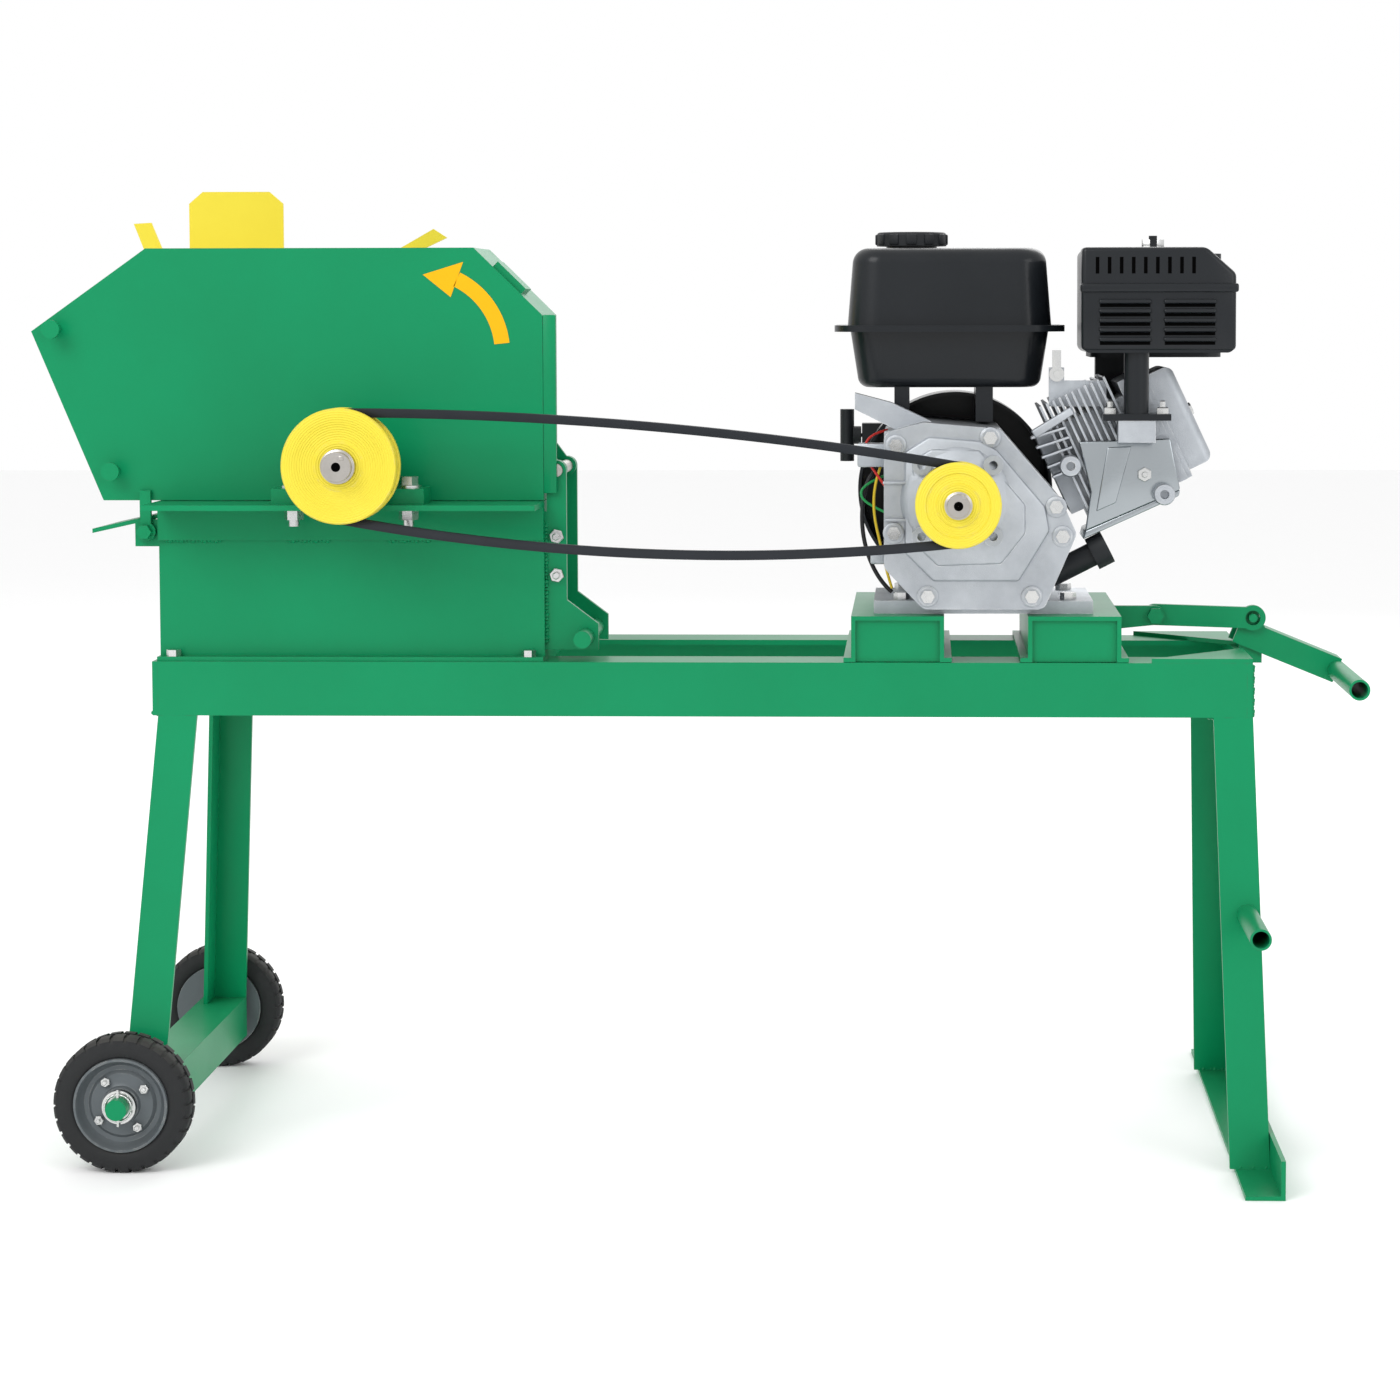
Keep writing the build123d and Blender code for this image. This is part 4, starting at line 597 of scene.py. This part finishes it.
# %% Belt
BELT_SEAT = 0.6 * MM
TOP_BOW = 12 * MM
LOW_BOW = 21 * MM
big = (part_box("chopper_pulley")[1][2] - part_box("chopper_pulley")[0][2]) / 2 - BELT_SEAT
small = (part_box("engine_pulley")[1][2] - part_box("engine_pulley")[0][2]) / 2 - BELT_SEAT
span = crank.x - shaft.x
drop = crank.z - shaft.z
top_lean = atan2(drop + small - big, span)
low_lean = atan2(drop - small + big, span)


def rim_point(centre, radius, angle):
    """A point on a circle in the XZ plane."""
    return Vector((centre.x + radius * cos(angle), 0, centre.z + radius * sin(angle)))


def circle_through(a, b, c):
    """The centre of the circle through three points in the XZ plane."""
    ab, ac = b - a, c - a
    scale = 2 * (ab.x * ac.z - ab.z * ac.x)
    x = (ac.z * ab.length_squared - ab.z * ac.length_squared) / scale
    z = (ab.x * ac.length_squared - ac.x * ab.length_squared) / scale
    return Vector((a.x + x, 0, a.z + z))


top_start = rim_point(shaft, big, pi / 2 + top_lean + 4 * TOP_BOW / span)
top_end = rim_point(crank, small, pi / 2 + top_lean - 4 * TOP_BOW / span)
low_start = rim_point(crank, small, -pi / 2 + low_lean + 4 * LOW_BOW / span)
low_end = rim_point(shaft, big, -pi / 2 + low_lean - 4 * LOW_BOW / span)
top_centre = circle_through(top_start, (top_start + top_end) / 2 + Vector((0, 0, TOP_BOW)), top_end)
low_centre = circle_through(low_start, (low_start + low_end) / 2 - Vector((0, 0, LOW_BOW)), low_end)


def turn_between(centre, start, end):
    """The clockwise angle from one point to another about a centre."""
    first = atan2(start.z - centre.z, start.x - centre.x)
    last = atan2(end.z - centre.z, end.x - centre.x)
    return (first - last) % (2 * pi)


bm = bmesh.new()
belt_y = centre_of("drive_belt").y
out = (top_start - Vector((shaft.x, 0, shaft.z))).normalized()
section = [(0, -5.9), (0, 5.9), (1.2, 6.2), (7.6, 3.9), (8.0, 3.4), (8.0, -3.4), (7.6, -3.9), (1.2, -6.2)]
ring = [bm.verts.new(top_start - out * depth * MM + Vector((0, belt_y + y * MM, 0))) for depth, y in section]
loop = [bm.edges.new((v, ring[(k + 1) % len(ring)])) for k, v in enumerate(ring)]
shaft_axis = Vector((shaft.x, 0, shaft.z))
crank_axis = Vector((crank.x, 0, crank.z))
stages = (
    (top_centre, top_start, top_end, 48), (crank_axis, top_end, low_start, 24),
    (low_centre, low_start, low_end, 48), (shaft_axis, low_end, top_start, 32),
)
geometry = ring + loop
for centre, start, end, steps in stages:
    spun = bmesh.ops.spin(
        bm, geom=geometry, cent=centre, axis=(0, 1, 0), dvec=(0, 0, 0),
        angle=turn_between(centre, start, end), steps=steps, use_merge=False, use_duplicate=False,
    )
    geometry = [g for g in spun["geom_last"] if not isinstance(g, bmesh.types.BMFace)]
bmesh.ops.remove_doubles(bm, verts=bm.verts, dist=0.0006)
bmesh.ops.recalc_face_normals(bm, faces=bm.faces)
belt_mesh = bpy.data.meshes.new("v_belt")
bm.to_mesh(belt_mesh)
bm.free()
belt = bpy.data.objects.new("v_belt", belt_mesh)
bpy.context.scene.collection.objects.link(belt)
belt_mesh.materials.append(finishes["belt_rubber"])
belt_mesh.shade_smooth()
belt_mesh.set_sharp_from_angle(angle=radians(40))
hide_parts("drive_belt")
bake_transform(belt)
print("belt faces", len(belt_mesh.polygons))

# %% [markdown]
# The arrow that shows the rotor's turning direction is a thin film on the cover. A short edge is
# spun into a curved band and a three-cornered head is added, then both get a film's thickness.

# %% Direction arrow
ARROW_CENTRE = (-758 * MM, 738 * MM)
ARROW_RADIUS = 74 * MM
ARROW_WIDTH = 14 * MM
bm = bmesh.new()
face_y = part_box("cover_near_plate")[0][1] - 0.1 * MM


def arrow_point(radius, degrees_up):
    """A point of the arrow, from its radius and its angle above level."""
    angle = radians(degrees_up)
    return (ARROW_CENTRE[0] + radius * cos(angle), face_y, ARROW_CENTRE[1] + radius * sin(angle))


tail = [bm.verts.new(arrow_point(ARROW_RADIUS + k * ARROW_WIDTH / 2, 6)) for k in (-1, 1)]
band = bmesh.ops.spin(
    bm, geom=tail + [bm.edges.new(tail)], cent=(ARROW_CENTRE[0], 0, ARROW_CENTRE[1]), axis=(0, -1, 0),
    dvec=(0, 0, 0), angle=radians(58), steps=24, use_merge=False, use_duplicate=False,
)
head = [arrow_point(ARROW_RADIUS + away * MM, up) for away, up in ((-17, 62), (17, 65), (-3, 89))]
bm.faces.new([bm.verts.new(p) for p in head])
film = bmesh.ops.extrude_face_region(bm, geom=list(bm.faces))["geom"]
bmesh.ops.translate(bm, vec=(0, -0.3 * MM, 0), verts=[g for g in film if isinstance(g, bmesh.types.BMVert)])
piece("direction_arrow", bm, "orange_paint", "cover", smooth=False)

# %% [markdown]
# The silencer hides behind a pressed black guard with one cut corner. Its top band is slotted and
# its face has two columns of louvres. Each louvre is a hood that stands proud over a slit. The slits
# and slots are thin near-black boxes on the face: painted shade in place of cut openings.

# %% Silencer guard
low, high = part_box("muffler")
top = high[2] + 1 * MM
bottom = high[2] - 93 * MM
left = low[0] - 1 * MM
right = high[0] + 1 * MM
guard_y = low[1] - 2 * MM
outline = [(left, bottom), (right, bottom), (right, top - 24 * MM), (right - 27 * MM, top), (left, top)]
band_left, band_right = left - MM, right + 2 * MM
band_low, band_top = top - 41 * MM, top - 33 * MM
band = [(band_left, band_low), (band_right, band_low), (band_right, band_top), (band_left, band_top)]
bm = bmesh.new()
add_prism(bm, outline, guard_y, low[1] + 30 * MM, 4 * MM)
add_prism(bm, band, guard_y - 2.5 * MM, low[1] + 30 * MM, 2 * MM)
# Slots in the top band and slits under the hoods: thin near-black boxes, painted shade in place of cut
# openings.
slits = bmesh.new()
width = right - left
for slot_number in range(9):
    x = left + width * (0.1 + 0.078 * slot_number)
    slot_low = (x - 1.6 * MM, guard_y - 0.3 * MM, top - 24 * MM)
    add_box(slits, slot_low, (x + 1.6 * MM, guard_y + MM, top - 9 * MM))
for column in (0, 1):
    start = left + width * (0.11 + 0.42 * column)
    end = start + width * 0.34
    for row in range(5):
        z = top - (50 + 8.6 * row) * MM
        hood_low = (start, guard_y - 3 * MM, z - 1.6 * MM)
        made = add_box(bm, hood_low, (end, guard_y + 2 * MM, z + 2.2 * MM), 1.5 * MM, 3)
        lean = Matrix.Translation((0, guard_y, z)) @ Matrix.Rotation(radians(-22), 4, "X")
        bmesh.ops.transform(bm, matrix=lean @ Matrix.Translation((0, -guard_y, -z)), verts=made)
        add_box(slits, (start + MM, guard_y - 0.3 * MM, z - 4.4 * MM), (end - MM, guard_y + MM, z - 1.6 * MM))
piece("silencer_guard", bm, "black_paint", "carriage")
piece("guard_slits", slits, "black_paint", "carriage", smooth=False, material=painted_opening_shade)

# %% [markdown]
# Small engine pieces give it its scale. A sheet shield covers the lower fins. The side cover gets
# a raised face with a stepped ring around the shaft, and a boss under each bolt. Nuts hold the pipe,
# a plug sits in the head, and a short loom of wires runs down the left of the case.

# %% Shield
def at_crank(dx, y, dz):
    """A point from millimetres to the right of and above the crankshaft."""
    return Vector((crank.x + dx * MM, y * MM, crank.z + dz * MM))


TILT = radians(25)
AXIS_OFFSET = -20


def beside_cylinder(distance, across, y):
    """A point beside the leaning cylinder's axis, in millimetres."""
    side = across + AXIS_OFFSET
    return at_crank(distance * cos(TILT) - side * sin(TILT), y, distance * sin(TILT) + side * cos(TILT))


def flat(points):
    """Points beside the crankshaft, in millimetres, as (x, z) pairs in metres."""
    return [(crank.x + x * MM, crank.z + z * MM) for x, z in points]


shield_finish = finish_material(
    "shield_plate", (0.4, 0.43, 0.45), (0.3, 0.33, 0.35), 0.24, metal=1.0, grain=(200.0, 12.0),
    rough_swing=0.12, dust=0.03,
)
bm = bmesh.new()
face = flat([(112, 52), (196, 55), (205, 8), (118, -30), (123, 6)])
add_prism(bm, face, -89 * MM, -84 * MM, 1.6 * MM)
add_prism(bm, flat([(118, -30), (205, 8), (204, 2), (116, -38)]), -88 * MM, -20 * MM, 1.5 * MM)
add_prism(bm, flat([(138, 47), (160, 48), (146, -4), (128, -12)]), -90.2 * MM, -87 * MM, 1.2 * MM)
piece("cylinder_shield", bm, "cast_aluminium", "carriage", material=shield_finish)

# %% Nuts, plug and wing nut
bm = bmesh.new()
add_hex(bm, at_crank(172, -89, 22), (0, -1, 0), 7 * MM, 4 * MM)
add_hex(bm, at_crank(172, -93, 22), (0, -1, 0), 3 * MM, 3 * MM)
flange_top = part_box("muffler")[0][2] + 6 * MM
for dx in (164 - 24, 164 + 24):
    spot = at_crank(dx, -94, 0)
    add_hex(bm, (spot.x, spot.y, flange_top), (0, 0, 1), 6 * MM, 6 * MM)
    add_hex(bm, (spot.x, spot.y, flange_top + 6 * MM), (0, 0, 1), 2.8 * MM, 6 * MM)
along = (cos(TILT), 0, sin(TILT))
head_face = 207
for across, y in ((-48, -68), (48, -68), (-48, 24), (48, 24)):
    add_hex(bm, beside_cylinder(head_face - 6, across, y), along, 5 * MM, 5 * MM)
add_hex(bm, beside_cylinder(229.6, 0, -22), along, 6 * MM, 5 * MM)
cleaner_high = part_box("air_cleaner")[1]
cleaner_middle = centre_of("air_cleaner")
wing_top = Vector((cleaner_middle.x, cleaner_middle.y, cleaner_high[2] - 14 * MM))
washer = bmesh.ops.create_cone(
    bm, cap_ends=True, segments=32, radius1=20 * MM, radius2=17 * MM, depth=2.4 * MM
)["verts"]
bmesh.ops.translate(bm, vec=wing_top, verts=washer)
for way in (-1, 1):
    wing = add_box(bm, (-4 * MM, -1.2 * MM, -4 * MM), (12 * MM, 1.2 * MM, 5 * MM), 1 * MM)
    turn = Matrix.Rotation(radians(90 - 90 * way + 24), 4, "Z")
    bmesh.ops.transform(bm, matrix=Matrix.Translation(wing_top + Vector((0, 0, 6 * MM))) @ turn, verts=wing)
piece("engine_nuts", bm, "zinc_steel", "carriage")

# %% Side cover castings
bm = bmesh.new()
raised = flat([
    (-48, 44), (-26, 58), (22, 54), (36, 46), (80, -6), (84, -28), (56, -74), (-22, -74), (-48, -48),
])
add_prism(bm, raised, -122 * MM, -117 * MM, 2.5 * MM)
inner = flat([(-41, 36), (-24, 47), (20, 46), (62, -4), (62, -30), (40, -58), (-18, -60), (-41, -38)])
add_prism(bm, inner, -124.5 * MM, -119 * MM, 2.5 * MM)
ring = [(30.2, -129.4), (34, -128), (38, -126), (44, -125), (49, -122), (52, -118)]
add_turned(bm, [(r * MM, y * MM) for r, y in ring], (crank.x, crank.z), 64)
for dx, dz in ((-56, 50), (30, 57), (90, -6), (96, -33), (68, -88), (-27, -88), (-58, -30)):
    spot = at_crank(dx, 0, dz)
    boss = [(0.1, -120), (8.4, -120), (9.6, -119.4), (10, -117.5)]
    add_turned(bm, [(r * MM, y * MM) for r, y in boss], (spot.x, spot.z), 24)
    washer_rim = [(0.1, -121.2), (8, -121.2), (8, -119.5)]
    add_turned(bm, [(r * MM, y * MM) for r, y in washer_rim], (spot.x, spot.z), 24)
for dx, dz, reach in ((-44, 22, 24), (-44, -12, 22), (-40, -40, 20)):
    start = at_crank(dx - reach, 0, dz - 6)
    end = (start.x + reach * MM, -117 * MM, start.z + 1.5 * MM)
    add_box(bm, (start.x, -121.5 * MM, start.z - 1.5 * MM), end, 1.2 * MM)
piece("cover_castings", bm, "cast_aluminium", "carriage")

# %% Fins of the case, and the stud bosses beside the cylinder
bm = bmesh.new()
for dx, dz in ((104, 30), (190, 4)):
    spot = at_crank(dx, 0, dz)
    lug = [(4.2, -99), (9, -99), (10, -97), (10, -84)]
    add_turned(bm, [(r * MM, y * MM) for r, y in lug], (spot.x, spot.z), 32)
    add_turned(bm, [(4.2 * MM, -99 * MM), (4.2 * MM, -90 * MM), (0.1 * MM, -90 * MM)], (spot.x, spot.z), 32)
add_prism(bm, flat([(68, 62), (104, 84), (108, 78), (72, 55)]), -92 * MM, -80 * MM, 1.5 * MM)
for step in range(5):
    x0, x1, z = 88 - step * 5, 112 - step * 3, 18 + 9 * step
    fin = flat([(x0, z), (x1, z + 10), (x1, z + 12.5), (x0, z + 2.5)])
    add_prism(bm, fin, -91 * MM, -70 * MM, 0.8 * MM, 2)
piece("cylinder_castings", bm, "cast_aluminium", "carriage")

# %% Ribs of the filler cap
bm = bmesh.new()
cap_low, cap_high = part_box("fuel_cap")
cap_middle = centre_of("fuel_cap")
radius = (cap_high[0] - cap_low[0]) / 2
for rib_number in range(12):
    turn = Matrix.Rotation(2 * pi * rib_number / 12, 4, "Z")
    rib_high = (radius + 1.4 * MM, 5 * MM, 4.5 * MM)
    rib = add_box(bm, (radius - 2 * MM, -5 * MM, -5.5 * MM), rib_high, 1.2 * MM, 2)
    bmesh.ops.transform(bm, matrix=Matrix.Translation(cap_middle) @ turn, verts=rib)
piece("cap_ribs", bm, "black_plastic", "fuel_cap")

# %% Wiring at the left of the case
def wire(name, points, thickness, colour):
    """A thin round wire through points measured from the crankshaft."""
    curve = bpy.data.curves.new(name, "CURVE")
    curve.dimensions = "3D"
    curve.bevel_depth = thickness / 2 * MM
    curve.bevel_resolution = 3
    curve.use_fill_caps = True
    line = curve.splines.new("NURBS")
    line.points.add(len(points) - 1)
    for spot, point in zip(line.points, points):
        spot.co = (*at_crank(*point), 1.0)
    line.use_endpoint_u = True
    line.order_u = 4
    thing = bpy.data.objects.new(name, curve)
    bpy.context.scene.collection.objects.link(thing)
    curve.materials.append(finish_material(name + "_sheath", colour, colour, 0.45, gloss=0.3, dust=0.0))
    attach(thing, "carriage")


yellow_way = [
    (-66, -66, 40), (-74, -70, 22), (-80, -74, -8), (-70, -76, -44), (-66, -74, -66), (-60, -80, -84),
]
red_way = [(-64, -60, 62), (-84, -64, 58), (-88, -66, 40), (-78, -70, 26), (-66, -74, 10)]
green_way = [(-66, -62, 20), (-86, -66, 12), (-92, -70, 2), (-84, -72, -6), (-66, -74, -14)]
black_way = [
    (-66, -60, 30), (-82, -62, 24), (-90, -66, -10), (-86, -70, -50), (-72, -72, -78), (-60, -74, -88),
]
wire("wire_yellow", yellow_way, 2.6, (0.6, 0.42, 0.02))
wire("wire_red", red_way, 2.4, (0.5, 0.02, 0.015))
wire("wire_green", green_way, 2.4, (0.01, 0.25, 0.06))
wire("wire_black", black_way, 4.0, (0.01, 0.01, 0.012))
bm = bmesh.new()
low_corner, high_corner = at_crank(-92, -76, 28), at_crank(-66, -56, 50)
add_box(bm, low_corner, high_corner, 2 * MM)
low_corner, high_corner = at_crank(-80, -78, -62), at_crank(-66, -58, -46)
add_box(bm, low_corner, high_corner, 2 * MM)
piece("ignition_unit", bm, "cast_aluminium", "carriage")

# %% Air slots of the starter housing, painted as near-black shade, and its bolts
low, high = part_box("recoil_starter")
far_y = high[1]
bm = bmesh.new()
# Each air slot is a thin near-black box on the housing's face: painted shade in place of a cut opening.
for slot_number in range(16):
    lie = Matrix.Translation(at_crank(0, 0, 0)) @ Matrix.Rotation(2 * pi * slot_number / 16, 4, "Y")
    made = add_box(bm, (34 * MM, far_y - MM, -2.2 * MM), (62 * MM, far_y + 0.3 * MM, 2.2 * MM), 0.2 * MM, 1)
    bmesh.ops.transform(bm, matrix=lie, verts=made)
piece("starter_slots", bm, "black_plastic", "carriage", smooth=False, material=painted_opening_shade)
bm = bmesh.new()
boss = [(0.1, 2.4), (18, 2.4), (24, 1.6), (27, -1)]
add_turned(bm, [(r * MM, far_y + y * MM) for r, y in boss], (crank.x, crank.z), 48)
piece("starter_boss", bm, "black_plastic", "carriage")
bm = bmesh.new()
shroud_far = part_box("fan_shroud")[1][1]
for angle in (45, 135, 225, 315):
    spot = at_crank(84.5 * cos(radians(angle)), 0, 84.5 * sin(radians(angle)))
    add_hex(bm, (spot.x, shroud_far - 2 * MM, spot.z), (0, 1, 0), 4.5 * MM, 6 * MM, 0.4)
piece("shroud_bolts", bm, "zinc_steel", "carriage")

# %% Hinge side of the head
bm = bmesh.new()
head_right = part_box("cover_near_plate")[1][0]
head_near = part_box("cover_near_plate")[0][1]
add_box(bm, (head_right, head_near, 0.608), (head_right + 12 * MM, head_near + 5 * MM, 0.772), 1 * MM)
piece("hinge_flange", bm, "green_paint", "cover")
bm = bmesh.new()
post_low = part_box("hinge_posts")[0]
for z in (0.568, 0.532):
    spot = (head_right + 11 * MM, post_low[1], z)
    add_hex(bm, spot, (0, -1, 0), 7 * MM, 5 * MM, 0.3)
    add_hex(bm, (spot[0], spot[1] - 5 * MM, z), (0, -1, 0), 3.6 * MM, 5 * MM)
piece("post_bolts", bm, "zinc_steel", "frame")
print("engine pieces done")

# %% [markdown]
# Weld beads run where plates meet. A bead is a row of small overlapping drops, each a small
# ball, painted over with the frame's green.

# %% Weld beads
def weld(bm, start, end, size=2.6 * MM):
    """A row of overlapping drops between two points."""
    start, end = Vector(start), Vector(end)
    count = max(2, int((end - start).length / (size * 1.3)))
    for drop in range(count + 1):
        made = bmesh.ops.create_icosphere(bm, subdivisions=1, radius=1.0)["verts"]
        swell = 1 + 0.18 * sin(drop * 2.1)
        shape = Matrix.Diagonal((size * swell, size * swell, size * swell, 1))
        bmesh.ops.transform(bm, matrix=Matrix.Translation(start.lerp(end, drop / count)) @ shape, verts=made)


bm = bmesh.new()
shelf_low, shelf_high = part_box("bearing_shelves")
head_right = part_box("housing_near_plate")[1][0]
near_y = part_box("cover_near_plate")[0][1]
for first, last in ((0.02, 0.16), (0.34, 0.44), (0.6, 0.7), (0.86, 0.98)):
    x0 = shelf_low[0] + (shelf_high[0] - shelf_low[0]) * first
    x1 = shelf_low[0] + (shelf_high[0] - shelf_low[0]) * last
    weld(bm, (x0, near_y - 1.5 * MM, shelf_low[2]), (x1, near_y - 1.5 * MM, shelf_low[2]))
rail_low, rail_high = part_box("rail_near")
for side in (-1, 1):
    y = side * 118.34 * MM
    end_x = rail_high[0] + 5 * MM
    weld(bm, (end_x, y, rail_high[2] - 48 * MM), (end_x, y, rail_high[2] - 4 * MM))
    weld(bm, (rail_low[0] - 5 * MM, y, rail_low[2] + 2 * MM), (rail_low[0] + 26 * MM, y, rail_low[2]))
    weld(bm, (rail_high[0] - 34 * MM, y, rail_low[2]), (rail_high[0] + 2 * MM, y, rail_low[2]))
    weld(bm, (-17 * MM, side * 182 * MM, 5 * MM), (10 * MM, side * 182 * MM, 5 * MM))
post_low, post_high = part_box("hinge_posts")
seam_x = head_right + 1 * MM
weld(bm, (seam_x, post_low[1], post_low[2] + 8 * MM), (seam_x, post_low[1], post_high[2] - 60 * MM))
piece("weld_beads", bm, "green_paint", "frame")
print("welds done")
